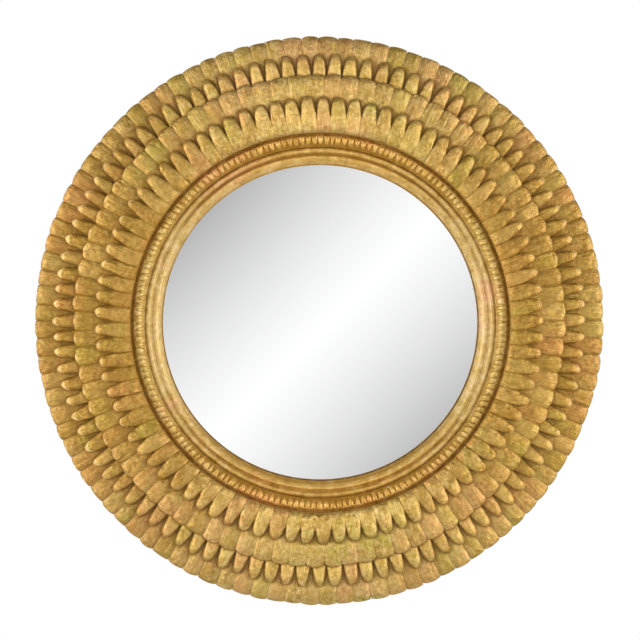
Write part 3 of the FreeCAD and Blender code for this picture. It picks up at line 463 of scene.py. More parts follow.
def band_mesh():
    rng = np.random.default_rng(53)
    radii = np.concatenate([[281.85], 281.95 + (302.55 - 281.95) * np.linspace(0, 1, 28), [302.75]])
    shell = curve([(281.8, 54.6), (283.2, 58.0), (285.0, 61.2), (288.0, 64.4), (291.5, 66.2), (295.0, 66.2), (298.0, 65.0), (300.2, 63.0), (301.8, 61.4), (302.8, 61.0)])
    angle = np.arange(BAND_STEPS) * TAU / BAND_STEPS
    k = np.arange(LEAVES + 1)
    warp = 0.16 * rng.uniform(-1, 1, LEAVES + 1)
    warp[-1] = warp[0]
    phase = angle / TAU * LEAVES
    phase = phase + np.interp(phase, k, warp)
    leaf = np.floor(phase).astype(int) % LEAVES
    f = phase - np.floor(phase)
    u = 2 * f - 1
    reach = (284.6 + 1.3 * rng.uniform(-1, 1, LEAVES))[leaf]
    fat = (1 + 0.22 * rng.uniform(-1, 1, LEAVES))[leaf]
    high = (0.5 * rng.uniform(-1, 1, LEAVES))[leaf]
    bend = (0.25 * rng.uniform(-1, 1, LEAVES))[leaf]
    rr, aa = np.meshgrid(radii, angle)
    uu, re, fa, hi, be = (np.repeat(v[:, None], len(radii), 1) for v in (u, reach, fat, high, bend))
    v = np.clip((rr - re) / (298.0 - re), 0, 1)
    uu = uu + be * (1 - v) * (1 - uu * uu)
    half = np.clip(fa * (0.20 + 0.86 * v ** 0.62), 0.05, 1.0)
    inside = 1 - np.abs(uu) / half
    body = step(-0.10, 0.42, inside) * step(re - 0.6, re + 1.5, rr)
    seam = step(0.0, 0.30, 1 - np.abs(uu))
    vein = np.exp(-(uu / 0.13) ** 2) * step(0.15, 0.45, v) * (1 - step(0.85, 1.0, v))
    ends = step(281.85, 283.4, rr) * (1 - step(300.8, 302.75, rr))
    cut = 2.3 * (1 - body) * (1 - step(0.80, 1.0, v)) + 1.2 * (1 - seam) * step(0.45, 0.9, v) + 0.5 * vein
    depth = shell(rr) - cut * ends + hi * body * ends
    depth = depth + 0.35 * fractal(rr * np.cos(aa) / 3.0, rr * np.sin(aa) / 3.0, 0.0, 59, 2) * ends
    # Painted shade, with some real toning: dark in the cuts between the leaves, along their seams and veins, and at the
    # inner and outer edges; weaker at the sides and, at the inner edge, at the foot.
    soft = 1 - 0.6 * sideways(np.cos(aa), np.sin(aa))
    grime = np.clip(np.maximum(soft * (1 - body) * (1 - step(0.75, 1.0, v)), 0.55 * soft * (1 - seam) * step(0.3, 0.8, v)), 0, 1)
    grime = np.maximum(grime, 0.25 * vein)
    flank = sideways(np.cos(aa), np.sin(aa))
    grime = np.maximum(grime, (1.0 - 0.92 * flank - 0.6 * (1 - flank) * (np.sin(aa) < 0)) * (1 - step(284.0, 288.5, rr)))
    grime = np.maximum(grime, 0.4 * step(300.4, 301.8, rr))
    # a flat back closes the ring
    n = len(radii)
    back = [(302.75, 42.05), (291.5, 42.05), (281.85, 42.05)]
    rr = np.concatenate([rr] + [np.full((BAND_STEPS, 1), b[0]) for b in back], 1)
    depth = np.concatenate([depth] + [np.full((BAND_STEPS, 1), b[1]) for b in back], 1)
    aa = np.repeat(angle[:, None], n + 3, 1)
    grime = np.concatenate([grime, np.ones((BAND_STEPS, 3))], 1)
    crest = np.concatenate([body, np.zeros((BAND_STEPS, 3))], 1)
    points = np.stack([rr * np.cos(aa), depth, rr * np.sin(aa)], -1).reshape(-1, 3)
    m, faces = n + 3, []
    for i in range(BAND_STEPS):
        a, b = i * m, ((i + 1) % BAND_STEPS) * m
        for j in range(m):
            q = (j + 1) % m
            faces.append((a + j, a + q, b + q, b + j))
    flow = np.stack([rr, aa * 291.0, np.zeros_like(rr)], -1).reshape(-1, 3)
    return make_piece("leaf_band", set_off(points), faces, sharp=65, grime=grime.ravel(), flow=flow, tone=np.zeros(rr.size), crest=crest.ravel())


band = band_mesh()


# ---------------------------------------------------------------- glass and felt
def glass_mesh():
    """The convex plate, with a ground edge. Its front is finely divided so that reflections stay smooth."""
    front = [(r, -790.0 + math.sqrt(869.0 ** 2 - r * r)) for r in np.linspace(0, 261.4, 66)]
    rear = [(r, -790.0 + math.sqrt(865.0 ** 2 - r * r)) for r in np.linspace(261.4, 0, 40)]
    rim_front, rim_rear = front[-1][1], rear[0][1]
    edge = [(261.8, rim_front - 0.35), (262.0, rim_front - 0.9), (262.0, rim_rear + 0.9), (261.8, rim_rear + 0.35)]
    profile = front[1:] + edge + rear[:-1]
    steps = 256
    angle = np.arange(steps) * TAU / steps
    points = [(0.0, front[0][1], 0.0), (0.0, rear[-1][1], 0.0)]
    for a in angle:
        points += [(r * math.cos(a), d, r * math.sin(a)) for r, d in profile]
    n, faces = len(profile), []
    for i in range(steps):
        a, b = 2 + i * n, 2 + ((i + 1) % steps) * n
        faces.append((0, a, b))
        faces.append((1, b + n - 1, a + n - 1))
        for j in range(n - 1):
            faces.append((a + j, a + j + 1, b + j + 1, b + j))
    return make_piece("mirror_plate", points, faces, sharp=30)


glass = glass_mesh()


def felt_ring(name, r0, r1, lower, upper, seed):
    """A felt strip pressed between wood and glass: its edges bulge a little and its inner edge wavers a little."""
    rows = 9
    rs = np.linspace(r0, r1, rows)
    front = [(r, upper(r)) for r in rs]
    rear = [(r, lower(r)) for r in rs[::-1]]
    mid0 = (r0 - 0.35, 0.5 * (upper(r0) + lower(r0)))
    mid1 = (r1 + 0.15, 0.5 * (upper(r1) + lower(r1)))
    loop = [mid0] + front + [mid1] + rear

    def fuzz(r, d, a):
        n = fractal(r * np.cos(a) / 2.0, r * np.sin(a) / 2.0, d, seed, 2)
        inner = 1 - step(r0, r0 + 1.5, r)
        return 0.18 * n * inner, 0.0 * n

    return turned(name, loop, 420, fuzz, sharp=70, place=lambda q: set_off(q, 255.0, 261.9))


front_felt = felt_ring("felt_front_strip", 254.9, 261.7, lambda r: -790.0 + math.sqrt(869.0 ** 2 - r * r) + 0.08, lambda r: 41.95, 81)
rear_felt = felt_ring("felt_rear_strip", 250.4, 261.7, lambda r: -790.0 + math.sqrt(865.0 ** 2 - r * r) - 1.45, lambda r: -790.0 + math.sqrt(865.0 ** 2 - r * r) - 0.08, 83)


# ---------------------------------------------------------------- materials
class Tree:
    """A node material, written as small calls that return sockets."""

    def __init__(self, name):
        self.mat = bpy.data.materials.new(name)
        self.mat.use_nodes = True
        self.nt = self.mat.node_tree
        self.nt.nodes.clear()
        self.out = self.nt.nodes.new("ShaderNodeOutputMaterial")
        self.coords = self.nt.nodes.new("ShaderNodeTexCoord")

    def put(self, socket, value):
        if isinstance(value, bpy.types.NodeSocket):
            self.nt.links.new(value, socket)
        elif value is not None:
            socket.default_value = value

    def node(self, kind, inputs=(), **settings):
        n = self.nt.nodes.new(kind)
        for key, value in settings.items():
            setattr(n, key, value)
        for key, value in dict(inputs).items():
            self.put(n.inputs[key], value)
        return n

    @property
    def place(self):
        return self.coords.outputs["Object"]

    def attribute(self, name, vector=False):
        n = self.node("ShaderNodeAttribute", attribute_name=name, attribute_type="GEOMETRY")
        return n.outputs["Vector"] if vector else n.outputs["Fac"]

    def math(self, op, a, b=None, c=None, clamp=False):
        n = self.node("ShaderNodeMath", operation=op, use_clamp=clamp)
        for i, v in enumerate((a, b, c)):
            if v is not None:
                self.put(n.inputs[i], v)
        return n.outputs[0]

    def vector(self, op, a, b=None):
        n = self.node("ShaderNodeVectorMath", operation=op)
        self.put(n.inputs[0], a)
        if b is not None:
            self.put(n.inputs[1], b)
        return n.outputs[0]

    def noise(self, where, scale, detail=3.0, rough=0.5, twist=0.0):
        n = self.node("ShaderNodeTexNoise", {"Vector": where, "Scale": scale, "Detail": detail, "Roughness": rough, "Distortion": twist})
        return n.outputs["Fac"]

    def cells(self, where, scale, feature="F1", jitter=1.0):
        n = self.node("ShaderNodeTexVoronoi", feature=feature)
        self.put(n.inputs["Vector"], where)
        self.put(n.inputs["Scale"], scale)
        self.put(n.inputs["Randomness"], jitter)
        return n.outputs["Distance"]

    def span(self, value, low, high, to_low=0.0, to_high=1.0):
        n = self.node("ShaderNodeMapRange", {"Value": value, "From Min": low, "From Max": high, "To Min": to_low, "To Max": to_high}, interpolation_type="SMOOTHSTEP")
        return n.outputs["Result"]

    def mix(self, factor, a, b, blend="MIX"):
        n = self.node("ShaderNodeMix", data_type="RGBA", blend_type=blend)
        self.put(n.inputs[0], factor)
        for i, v in ((6, a), (7, b)):
            self.put(n.inputs[i], v if isinstance(v, bpy.types.NodeSocket) else tuple(v) + (1.0,))
        return n.outputs[2]

    def ramp(self, factor, stops):
        n = self.node("ShaderNodeValToRGB")
        self.put(n.inputs[0], factor)
        e = n.color_ramp.elements
        while len(e) < len(stops):
            e.new(0.5)
        for k, (pos, colour) in enumerate(stops):
            e[k].position = pos
            e[k].color = tuple(colour) + (1.0,)
        return n.outputs[0]

    def bump(self, height, distance, strength=1.0, below=None):
        n = self.node("ShaderNodeBump", {"Height": height, "Distance": distance, "Strength": strength})
        if below is not None:
            self.put(n.inputs["Normal"], below)
        return n.outputs["Normal"]

    def finish(self, **inputs):
        n = self.node("ShaderNodeBsdfPrincipled")
        for key, value in inputs.items():
            key = key.replace("_", " ")
            if isinstance(value, tuple) and len(value) == 3:
                value = value + (1.0,)
            self.put(n.inputs[key], value)
        self.nt.links.new(n.outputs[0], self.out.inputs[0])
        return self.mat


def srgb(r, g, b):
    return tuple(((c / 255.0 + 0.055) / 1.055) ** 2.4 if c > 10 else c / 255.0 / 12.92 for c in (r, g, b))


def gilding(name, light=1.0, warm=0.0, wear=0.5, streaks=1.0, rough=(0.35, 0.46), at_sides=(0.855, 0.815, 0.645), upright=(1.00, 1.12, 1.46), hues=0.24, shine=0.78, green=1.0, flecks=0.52, brushed=0.20):
    """Old water gilding: leaf over red clay and gesso, rubbed on the high places, toned brown in the hollows; painted
    shade darkens the hollows and round the tips, painted highlights pale the side tips, and a painted tint sets the
    sides apart from the top and foot.
    """
    t = Tree(name)
    grime = t.attribute("grime")
    crest = t.attribute("crest")
    tone = t.attribute("tone")
    flow = t.attribute("flow", True)
    place = t.place
    gold = tuple(light * c for c in (0.49, 0.275, 0.045))
    pale = tuple(light * c for c in (0.62, 0.400, 0.110))
    olive = tuple(light * c for c in (0.42, 0.305, 0.036))
    pink = tuple(light * c for c in (0.57, 0.270, 0.070))
    deep = tuple(light * c for c in (0.30, 0.145, 0.013))
    wide = t.noise(place, 11.0, 4.0, 0.55)
    wide2 = t.noise(t.vector("ADD", place, (3.1, 1.7, 5.3)), 17.0, 3.0, 0.6)
    mid = t.noise(t.vector("ADD", place, (7.7, 4.2, 1.3)), 70.0, 4.0, 0.6)
    colour = t.mix(t.span(wide, 0.52 - 0.1 * warm, 0.66 - 0.1 * warm), gold, pink)
    colour = t.mix(t.math("MULTIPLY", t.span(wide2, 0.54, 0.68), green), colour, olive)
    colour = t.mix(t.math("MULTIPLY", t.span(mid, 0.48, 0.68), 0.80), colour, pale)
    colour = t.mix(t.math("MULTIPLY", t.span(mid, 0.50, 0.30), 0.65), colour, deep)
    fleck = t.noise(t.vector("ADD", place, (2.7, 6.1, 4.4)), 190.0, 3.0, 0.65)
    colour = t.mix(t.math("MULTIPLY", t.span(fleck, 0.51, 0.65), flecks), colour, tuple(light * c for c in (0.74, 0.50, 0.165)))
    colour = t.mix(t.math("MULTIPLY", t.span(fleck, 0.49, 0.36), flecks), colour, tuple(light * c for c in (0.25, 0.118, 0.010)))
    # strokes of the burnisher and the toning brush run along each petal and round the moulding
    stroke = t.noise(t.vector("MULTIPLY", flow, (0.050, 0.31, 1.0)), 1.0, 3.0, 0.6)
    colour = t.mix(t.math("MULTIPLY", t.span(stroke, 0.51, 0.66), brushed), colour, tuple(light * c for c in (0.72, 0.49, 0.160)))
    colour = t.mix(t.math("MULTIPLY", t.span(stroke, 0.49, 0.35), brushed), colour, tuple(light * c for c in (0.25, 0.118, 0.010)))
    pick = t.node("ShaderNodeTexWhiteNoise", {"W": t.math("MULTIPLY", tone, 91.3)}, noise_dimensions="1D").outputs["Value"]
    colour = t.mix(t.math("MULTIPLY", t.span(pick, 0.62, 0.95), hues), colour, pink)
    colour = t.mix(t.math("MULTIPLY", t.span(pick, 0.38, 0.05), hues), colour, olive)
    # painted light: the sides and the top and foot are tinted as the light falls, darker and more saturated at the
    # sides of the petals and paler at the sides of the moulding, so it differs between petals and moulding
    p = t.node("ShaderNodeSeparateXYZ", {0: place})
    high = t.math("DIVIDE", t.math("ABSOLUTE", p.outputs[2]), t.math("ADD", t.math("ADD", t.math("ABSOLUTE", p.outputs[0]), t.math("ABSOLUTE", p.outputs[2])), 0.001))
    colour = t.mix(1.0, colour, t.mix(t.span(high, 0.25, 0.80), at_sides, upright), "MULTIPLY")
    colour = t.mix(t.math("MULTIPLY", t.span(tone, 0.0, 1.0), 0.30), colour, pale)
    colour = t.mix(t.math("MULTIPLY", t.span(tone, 0.0, -1.0), 0.30), colour, deep)
    # painted highlight: negative values of the attribute paint the side tips pale, as rims lit from the side
    colour = t.mix(t.math("MULTIPLY", t.span(grime, -0.1, -0.85), 0.90), colour, tuple(light * c for c in (1.0, 0.74, 0.33)))
    # small rubs through to the clay, mostly on crests
    fine = t.noise(t.vector("ADD", place, (1.9, 8.8, 2.2)), 210.0, 5.0, 0.65)
    rub = t.math("MULTIPLY", t.span(t.math("ADD", fine, t.math("MULTIPLY", crest, 0.05)), 0.66 - 0.04 * wear, 0.74), 0.55)
    colour = t.mix(rub, colour, (0.30, 0.115, 0.04))
    # toning settles in the hollows and in pores, and the attribute adds painted shade in the hollows, round and under
    # the tips and beneath each row
    pores = t.span(t.noise(place, 520.0, 3.0, 0.6), 0.60, 0.72)
    hollow_toning_and_shade = t.math("MULTIPLY", t.math("MAXIMUM", grime, 0.0), t.span(t.noise(place, 90.0, 3.0, 0.6), 0.2, 0.75, 0.62, 1.0))
    toning_and_shade = t.math("ADD", t.math("MULTIPLY", hollow_toning_and_shade, 0.92), t.math("MULTIPLY", pores, 0.16), clamp=True)
    colour = t.mix(toning_and_shade, colour, (0.262, 0.124, 0.008))
    # brushed and scraped gesso: marks run along each petal
    along = t.vector("MULTIPLY", flow, (0.055, 0.55, 1.0))
    marks = t.noise(along, 1.0, 4.0, 0.6)
    lumps = t.noise(place, 150.0, 3.0, 0.55)
    grain = t.noise(place, 900.0, 2.0, 0.5)
    height = t.math("ADD", t.math("MULTIPLY", marks, 0.9 * streaks), t.math("ADD", t.math("MULTIPLY", lumps, 0.9), t.math("MULTIPLY", grain, 0.16)))
    normal = t.bump(height, 0.0015, 0.9)
    metal = t.math("SUBTRACT", shine, t.math("MULTIPLY", t.math("MAXIMUM", toning_and_shade, rub), 0.55), clamp=True)
    gloss = t.math("SUBTRACT", 0.42, t.math("MULTIPLY", toning_and_shade, 0.36), clamp=True)
    rough = t.math("ADD", t.span(mid, 0.3, 0.7, *rough), t.math("MULTIPLY", toning_and_shade, 0.25))
    return t.finish(Base_Color=colour, Metallic=metal, Roughness=rough, Normal=normal, Specular_IOR_Level=0.3, Specular_Tint=(0.80, 0.60, 0.30), Coat_Weight=gloss, Coat_Roughness=0.38)


def silvered():
    """Front-silvered look of a good plate: clear, with a slow waviness and a trace of age at the rim."""
    t = Tree("silvered_glass")
    wave = t.noise(t.place, 5.0, 1.0, 0.4)
    place = t.node("ShaderNodeSeparateXYZ", {0: t.place})
    rr = t.math("SQRT", t.math("ADD", t.math("POWER", place.outputs[0], 2.0), t.math("POWER", place.outputs[2], 2.0)))
    spots = t.span(t.noise(t.place, 160.0, 4.0, 0.7), 0.60, 0.74)
    age = t.math("MULTIPLY", t.span(rr, 0.249, 0.2545), spots)
    colour = t.mix(t.math("MULTIPLY", age, 0.5), (0.965, 0.968, 0.968), (0.50, 0.46, 0.40))
    rough = t.math("ADD", t.math("MULTIPLY", age, 0.25), t.span(wave, 0.2, 0.8, 0.012, 0.02))
    return t.finish(Base_Color=colour, Metallic=1.0, Roughness=rough, Normal=t.bump(wave, 0.00012, 0.5))


def back_paint():
    t = Tree("mirror_back_paint")
    n = t.noise(t.place, 60.0, 4.0, 0.6)
    strokes = t.noise(t.vector("MULTIPLY", t.place, (12.0, 12.0, 160.0)), 1.0, 3.0, 0.6)
    colour = t.mix(t.span(n, 0.4, 0.62), (0.16, 0.055, 0.035), (0.22, 0.085, 0.05))
    return t.finish(Base_Color=colour, Roughness=0.55, Normal=t.bump(strokes, 0.0003, 0.6))


def felt_cloth():
    t = Tree("grey_felt")
    fibre = t.noise(t.place, 1500.0, 4.0, 0.7, 0.6)
    blot = t.noise(t.place, 130.0, 3.0, 0.6)
    colour = t.mix(t.span(fibre, 0.35, 0.7), (0.045, 0.043, 0.042), (0.12, 0.115, 0.11))
    colour = t.mix(t.span(blot, 0.5, 0.75), colour, (0.075, 0.07, 0.06))
    return t.finish(Base_Color=colour, Roughness=0.95, Sheen_Weight=0.6, Sheen_Roughness=0.5, Normal=t.bump(fibre, 0.0006, 0.9))


def local_wood(t, offset):
    """Coordinates turned with each of eight glued segments, so that the grain follows its chord. Returns (vector, segment number)."""
    p = t.node("ShaderNodeSeparateXYZ", {0: t.place})
    angle = t.math("ARCTAN2", p.outputs[2], p.outputs[0])
    eighth = math.pi / 4
    number = t.math("FLOOR", t.math("DIVIDE", t.math("SUBTRACT", angle, offset), eighth))
    centre = t.math("ADD", t.math("MULTIPLY", t.math("ADD", number, 0.5), eighth), offset)
    turn = t.node("ShaderNodeVectorRotate", {"Vector": t.place, "Angle": centre}, rotation_type="Y_AXIS")
    shifted = t.node("ShaderNodeCombineXYZ", {0: t.math("MULTIPLY", number, 3.7), 1: t.math("MULTIPLY", number, 1.9), 2: t.math("MULTIPLY", number, 5.1)})
    return t.vector("ADD", turn.outputs[0], shifted.outputs[0]), number


def timber(name, light, dark, offset=None, along=2, gilt_side=False, gap=0.004):
    """Old softwood: growth rings drawn out along the grain, darker pores, and handling dirt."""
    t = Tree(name)
    if offset is not None:
        where, number = local_wood(t, offset)
    else:
        where, number = t.place, None
    stretch = [1.0, 1.0, 1.0]
    stretch[along] = 0.06
    drawn = t.vector("MULTIPLY", where, tuple(stretch))
    bend = t.noise(t.vector("MULTIPLY", where, tuple(0.35 if k == along else 1.0 for k in range(3))), 6.0, 2.0, 0.5)
    rings = t.noise(drawn, 95.0, 3.0, 0.55, 0.6)
    bands = t.node("ShaderNodeTexWave", {"Vector": t.vector("MULTIPLY", where, tuple(0.09 if k == along else 1.0 for k in range(3))), "Scale": 34.0, "Distortion": 5.0, "Detail": 3.0, "Detail Scale": 1.6}, wave_type="BANDS", bands_direction="X" if along != 0 else "Z")
    pores = t.noise(drawn, 620.0, 2.0, 0.6)
    colour = t.mix(t.span(rings, 0.35, 0.65), light, dark)
    colour = t.mix(t.math("MULTIPLY", bands.outputs["Fac"], 0.26), colour, tuple(0.62 * c for c in dark))
    colour = t.mix(t.math("MULTIPLY", t.span(pores, 0.58, 0.72), 0.5), colour, tuple(0.45 * c for c in dark))
    stain = t.noise(t.vector("ADD", t.place, (4.0, 2.0, 9.0)), 7.0, 4.0, 0.6)
    colour = t.mix(t.math("MULTIPLY", t.span(stain, 0.48, 0.7), 0.45), colour, tuple(0.55 * c for c in dark))
    if number is not None:
        pick = t.node("ShaderNodeTexWhiteNoise", {"W": number}, noise_dimensions="1D")
        colour = t.mix(t.math("MULTIPLY", pick.outputs["Value"], 0.30), colour, tuple(1.25 * c for c in light))
    height = t.math("ADD", t.math("MULTIPLY", rings, 0.5), t.math("ADD", t.math("MULTIPLY", pores, 0.35), t.math("MULTIPLY", bend, 0.4)))
    rough = t.span(pores, 0.3, 0.7, 0.62, 0.78)
    if gilt_side:
        # the outer edge is painted yellow ochre up to the gilding
        p = t.node("ShaderNodeSeparateXYZ", {0: t.place})
        rr = t.math("SQRT", t.math("ADD", t.math("POWER", p.outputs[0], 2.0), t.math("POWER", p.outputs[2], 2.0)))
        ragged = t.math("ADD", rr, t.math("MULTIPLY", t.math("SUBTRACT", t.noise(t.place, 40.0, 3.0, 0.6), 0.5), 0.006))
        paint = t.span(ragged, 0.4325, 0.4345)
        worn = t.span(t.noise(t.place, 55.0, 5.0, 0.7), 0.60, 0.70, 1.0, 0.35)
        ochre = t.mix(t.span(stain, 0.35, 0.65), (0.46, 0.28, 0.075), (0.36, 0.20, 0.055))
        colour = t.mix(t.math("MULTIPLY", paint, worn), colour, ochre)
    return t.finish(Base_Color=colour, Roughness=rough, Normal=t.bump(height, 0.0007, 0.7))


def metal(name, colour, tarnish, rough=(0.28, 0.45), scratch=1.0, amount=0.5, metallic=1.0):
    t = Tree(name)
    blot = t.noise(t.place, 140.0, 5.0, 0.65)
    fine = t.noise(t.place, 900.0, 3.0, 0.6)
    lines = t.noise(t.vector("MULTIPLY", t.place, (2600.0, 300.0, 260.0)), 1.0, 2.0, 0.5)
    mixed = t.mix(t.math("MULTIPLY", t.span(blot, 0.45, 0.68), amount), colour, tarnish)
    mixed = t.mix(t.math("MULTIPLY", t.span(fine, 0.60, 0.72), 0.35), mixed, tarnish)
    height = t.math("ADD", t.math("MULTIPLY", lines, 0.5 * scratch), t.math("MULTIPLY", fine, 0.5))
    return t.finish(Base_Color=mixed, Metallic=metallic, Roughness=t.span(blot, 0.3, 0.7, *rough), Normal=t.bump(height, 0.00012, 0.5))


def rubber():
    t = Tree("black_rubber")
    dust = t.noise(t.place, 160.0, 5.0, 0.65)
    grain = t.noise(t.place, 1400.0, 2.0, 0.5)
    colour = t.mix(t.span(dust, 0.45, 0.72), (0.020, 0.020, 0.021), (0.062, 0.058, 0.052))
    return t.finish(Base_Color=colour, Roughness=t.span(dust, 0.3, 0.7, 0.55, 0.8), Normal=t.bump(grain, 0.0002, 0.5))


# at_sides and upright below are painted light: colour multipliers for the two sides and for the top and foot.
GILT_PETALS = gilding("gilding_petals")
GILT_FLAT = gilding("gilding_flat_petals", light=0.92, warm=0.25, hues=0.35)
GILT_OUTER = gilding("gilding_outer_petals", light=0.83, warm=0.45, hues=0.5)
GILT_SLIP = gilding("gilding_slip", light=1.22, warm=-0.2, wear=0.8, streaks=0.35, rough=(0.46, 0.58), at_sides=(0.90, 1.07, 1.95), upright=(1.02, 1.08, 1.40), hues=0.0, shine=0.60, green=0.3, flecks=0.25, brushed=0.18)
GILT_BAND = gilding("gilding_band", light=1.25, warm=-0.1, wear=0.7, streaks=0.5, rough=(0.44, 0.56), at_sides=(1.00, 1.18, 1.75), upright=(1.08, 1.08, 1.25), hues=0.0, shine=0.70, green=0.4, flecks=0.35, brushed=0.2)
MIRROR, BACK_PAINT, FELT = silvered(), back_paint(), felt_cloth()
REAR_WOOD = timber("carcass_rear_wood", (0.56, 0.340, 0.130), (0.38, 0.200, 0.064), offset=math.radians(22.5), gilt_side=True)
FRONT_WOOD = timber("carcass_front_wood", (0.58, 0.355, 0.140), (0.39, 0.208, 0.068), offset=0.0, gilt_side=True)
HOOP_WOOD = timber("hoop_wood", (0.56, 0.39, 0.21), (0.38, 0.235, 0.115), offset=math.radians(11.0))
BOARD_WOOD = timber("backboard_wood", (0.45, 0.260, 0.096), (0.29, 0.148, 0.048))
DOWEL_WOOD = timber("dowel_wood", (0.62, 0.46, 0.27), (0.46, 0.31, 0.16), along=1)
BRASS = metal("aged_brass", (0.66, 0.46, 0.17), (0.20, 0.12, 0.04), (0.26, 0.42), 1.0, 0.7)
STEEL = metal("screw_steel", (0.50, 0.49, 0.47), (0.16, 0.12, 0.09), (0.30, 0.5), 0.7, 0.6)
ZINC = metal("zinc_plate", (0.66, 0.67, 0.68), (0.38, 0.38, 0.37), (0.30, 0.46), 1.2, 0.5)
RUBBER = rubber()

for obj, node, mat, slot in (
    (ring_1, "petal_ring_1", GILT_PETALS, "gilding"),
    (ring_2, "petal_ring_2", GILT_FLAT, "gilding"),
    (ring_3, "petal_ring_3", GILT_PETALS, "gilding"),
    (ring_4, "petal_ring_4", GILT_OUTER, "gilding"),
    (slip, "sight_slip", GILT_SLIP, "gilding"),
    (band, "carved_band", GILT_BAND, "gilding"),
    (glass, "mirror_glass", MIRROR, "silvered_glass"),
    (front_felt, "front_felt", FELT, "felt"),
    (rear_felt, "rear_felt", FELT, "felt"),
):
    obj.data.materials.append(mat)
    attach(obj, "frame")
    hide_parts(node)
glass.data.materials.append(BACK_PAINT)
for face in glass.data.polygons:
    face.material_index = 0 if face.normal.y < -0.2 else 1

KEPT = {
    "carcass_rear": REAR_WOOD, "carcass_front": FRONT_WOOD, "retaining_hoop": HOOP_WOOD, "backboard": BOARD_WOOD,
    "carcass_dowels": DOWEL_WOOD, "ring_dowels": DOWEL_WOOD, "band_dowels": DOWEL_WOOD, "slip_brads": STEEL,
    "hoop_screws": STEEL, "turn_button_screws": STEEL, "hanger_screws": STEEL, "bumper_screws": STEEL,
    "strap_hanger_left": ZINC, "strap_hanger_right": ZINC, "d_ring_left": ZINC, "d_ring_right": ZINC,
    "wall_bumpers": RUBBER,
}
KEPT.update({"turn_button_%d" % k: BRASS for k in range(1, 7)})
for name, mat in KEPT.items():
    node = NODES[name]
    node.data.materials.clear()
    node.data.materials.append(mat)

# ---------------------------------------------------------------- floor, light and camera
scene = bpy.context.scene
scene.view_settings.view_transform = "Standard"
scene.view_settings.look = "None"


def floor_disc():
    rings, steps = [0.35, 0.8, 1.2, 1.36, 1.40], 96
    points, faces = [(0, 0, 0)], []
    for r in rings:
        points += [(r * math.cos(k * TAU / steps), r * math.sin(k * TAU / steps), 0.0) for k in range(steps)]
    for k in range(steps):
        q = (k + 1) % steps
        faces.append((0, 1 + k, 1 + q))
        for j in range(len(rings) - 1):
            a, b = 1 + j * steps, 1 + (j + 1) * steps
            faces.append((a + k, b + k, b + q, a + q))
    mesh = bpy.data.meshes.new("floor")
    mesh.from_pydata([(x, y, z - 1.6) for x, y, z in points], [], faces)
    mesh.shade_smooth()
    obj = bpy.data.objects.new("floor", mesh)
    scene.collection.objects.link(obj)
    t = Tree("floor_paint")
    n = t.noise(t.place, 3.0, 3.0, 0.5)
    mesh.materials.append(t.finish(Base_Color=t.mix(n, (0.80, 0.80, 0.795), (0.84, 0.84, 0.835)), Roughness=0.7))
    return obj


floor_disc()


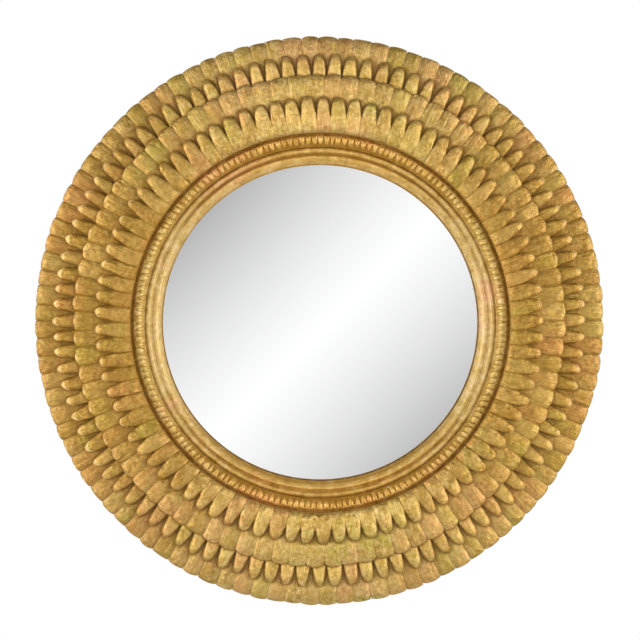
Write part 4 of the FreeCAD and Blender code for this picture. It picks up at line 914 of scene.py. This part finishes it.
def studio_world():
    """White to the camera. To the object it's a soft tent: brightest on a diagonal band in front, bright at both sides, dim above and below."""
    world = bpy.data.worlds.new("studio")
    scene.world = world
    world.use_nodes = True
    nt = world.node_tree
    nt.nodes.clear()

    def math_node(op, a, b=None, c=None, clamp=False):
        n = nt.nodes.new("ShaderNodeMath")
        n.operation, n.use_clamp = op, clamp
        for i, v in enumerate((a, b, c)):
            if isinstance(v, bpy.types.NodeSocket):
                nt.links.new(v, n.inputs[i])
            elif v is not None:
                n.inputs[i].default_value = v
        return n.outputs[0]

    def span(value, low, high, to_low, to_high):
        n = nt.nodes.new("ShaderNodeMapRange")
        n.interpolation_type = "SMOOTHSTEP"
        nt.links.new(value, n.inputs["Value"])
        for key, v in (("From Min", low), ("From Max", high), ("To Min", to_low), ("To Max", to_high)):
            if isinstance(v, bpy.types.NodeSocket):
                nt.links.new(v, n.inputs[key])
            else:
                n.inputs[key].default_value = v
        return n.outputs["Result"]

    coord = nt.nodes.new("ShaderNodeTexCoord")
    split = nt.nodes.new("ShaderNodeSeparateXYZ")
    nt.links.new(coord.outputs["Generated"], split.inputs[0])
    dx, dy, dz = split.outputs
    # the diagonal gradient that the glass shows
    p = math_node("MULTIPLY", math_node("SUBTRACT", dz, dx), 0.70711)
    q = math_node("ABSOLUTE", math_node("ADD", p, 0.033))
    inner = math_node("SUBTRACT", 1.045, math_node("ADD", math_node("MULTIPLY", q, 0.575), math_node("MULTIPLY", math_node("MULTIPLY", q, q), 0.47)))
    off = math_node("SQRT", math_node("ADD", math_node("MULTIPLY", dx, dx), math_node("MULTIPLY", dz, dz)))
    away = math_node("MAXIMUM", math_node("ABSOLUTE", dx), 0.001)
    at_sides = span(off, 0.66, 0.95, 1.0, 1.2)
    above = math_node("MULTIPLY", span(off, 0.66, 0.95, 0.30, 0.10), span(dz, -0.35, 0.35, 1.5, 0.5))
    sideways = span(math_node("DIVIDE", math_node("ABSOLUTE", dz), away), 0.45, 1.5, at_sides, above)
    outer = sideways
    front = span(off, 0.64, 0.84, 0.0, 1.0)
    mix = nt.nodes.new("ShaderNodeMix")
    mix.data_type = "FLOAT"
    nt.links.new(front, mix.inputs[0])
    nt.links.new(inner, mix.inputs[2])
    nt.links.new(outer, mix.inputs[3])
    behind = span(dy, -0.25, 0.25, 0.0, 1.0)
    mix2 = nt.nodes.new("ShaderNodeMix")
    mix2.data_type = "FLOAT"
    nt.links.new(behind, mix2.inputs[0])
    nt.links.new(mix.outputs[0], mix2.inputs[2])
    mix2.inputs[3].default_value = 0.78
    seen = nt.nodes.new("ShaderNodeLightPath")
    tent = nt.nodes.new("ShaderNodeBackground")
    nt.links.new(mix2.outputs[0], tent.inputs["Strength"])
    tent.inputs["Color"].default_value = (1.0, 1.0, 1.0, 1.0)
    white = nt.nodes.new("ShaderNodeBackground")
    white.inputs["Color"].default_value = (1.0, 1.0, 1.0, 1.0)
    white.inputs["Strength"].default_value = 1.0
    pick = nt.nodes.new("ShaderNodeMixShader")
    nt.links.new(seen.outputs["Is Camera Ray"], pick.inputs[0])
    nt.links.new(tent.outputs[0], pick.inputs[1])
    nt.links.new(white.outputs[0], pick.inputs[2])
    out = nt.nodes.new("ShaderNodeOutputWorld")
    nt.links.new(pick.outputs[0], out.inputs[0])


studio_world()


def softbox(name, at, towards, size, power):
    data = bpy.data.lights.new(name, "AREA")
    data.shape = "RECTANGLE"
    data.size, data.size_y = size
    data.energy = power
    obj = bpy.data.objects.new(name, data)
    obj.location = at
    obj.rotation_mode = "QUATERNION"
    obj.rotation_quaternion = (Vector(towards) - Vector(at)).to_track_quat("-Z", "Y")
    obj.visible_camera = False
    scene.collection.objects.link(obj)
    return obj


softbox("softbox_left", (-2.6, -1.62, 0.15), (0, 0, 0), (1.5, 2.0), 55.0)
softbox("softbox_right", (2.6, -1.62, 0.15), (0, 0, 0), (1.5, 2.0), 57.0)

camera = bpy.data.cameras.new("camera")
camera.lens, camera.sensor_width = 135.0, 36.0
camera.clip_start, camera.clip_end = 0.1, 50.0
view = bpy.data.objects.new("camera", camera)
view.location = (0.0014, -3.903, 0.001)
view.rotation_euler = (math.pi / 2, 0.0, 0.0)
scene.collection.objects.link(view)
scene.camera = view

bpy.context.view_layer.update()
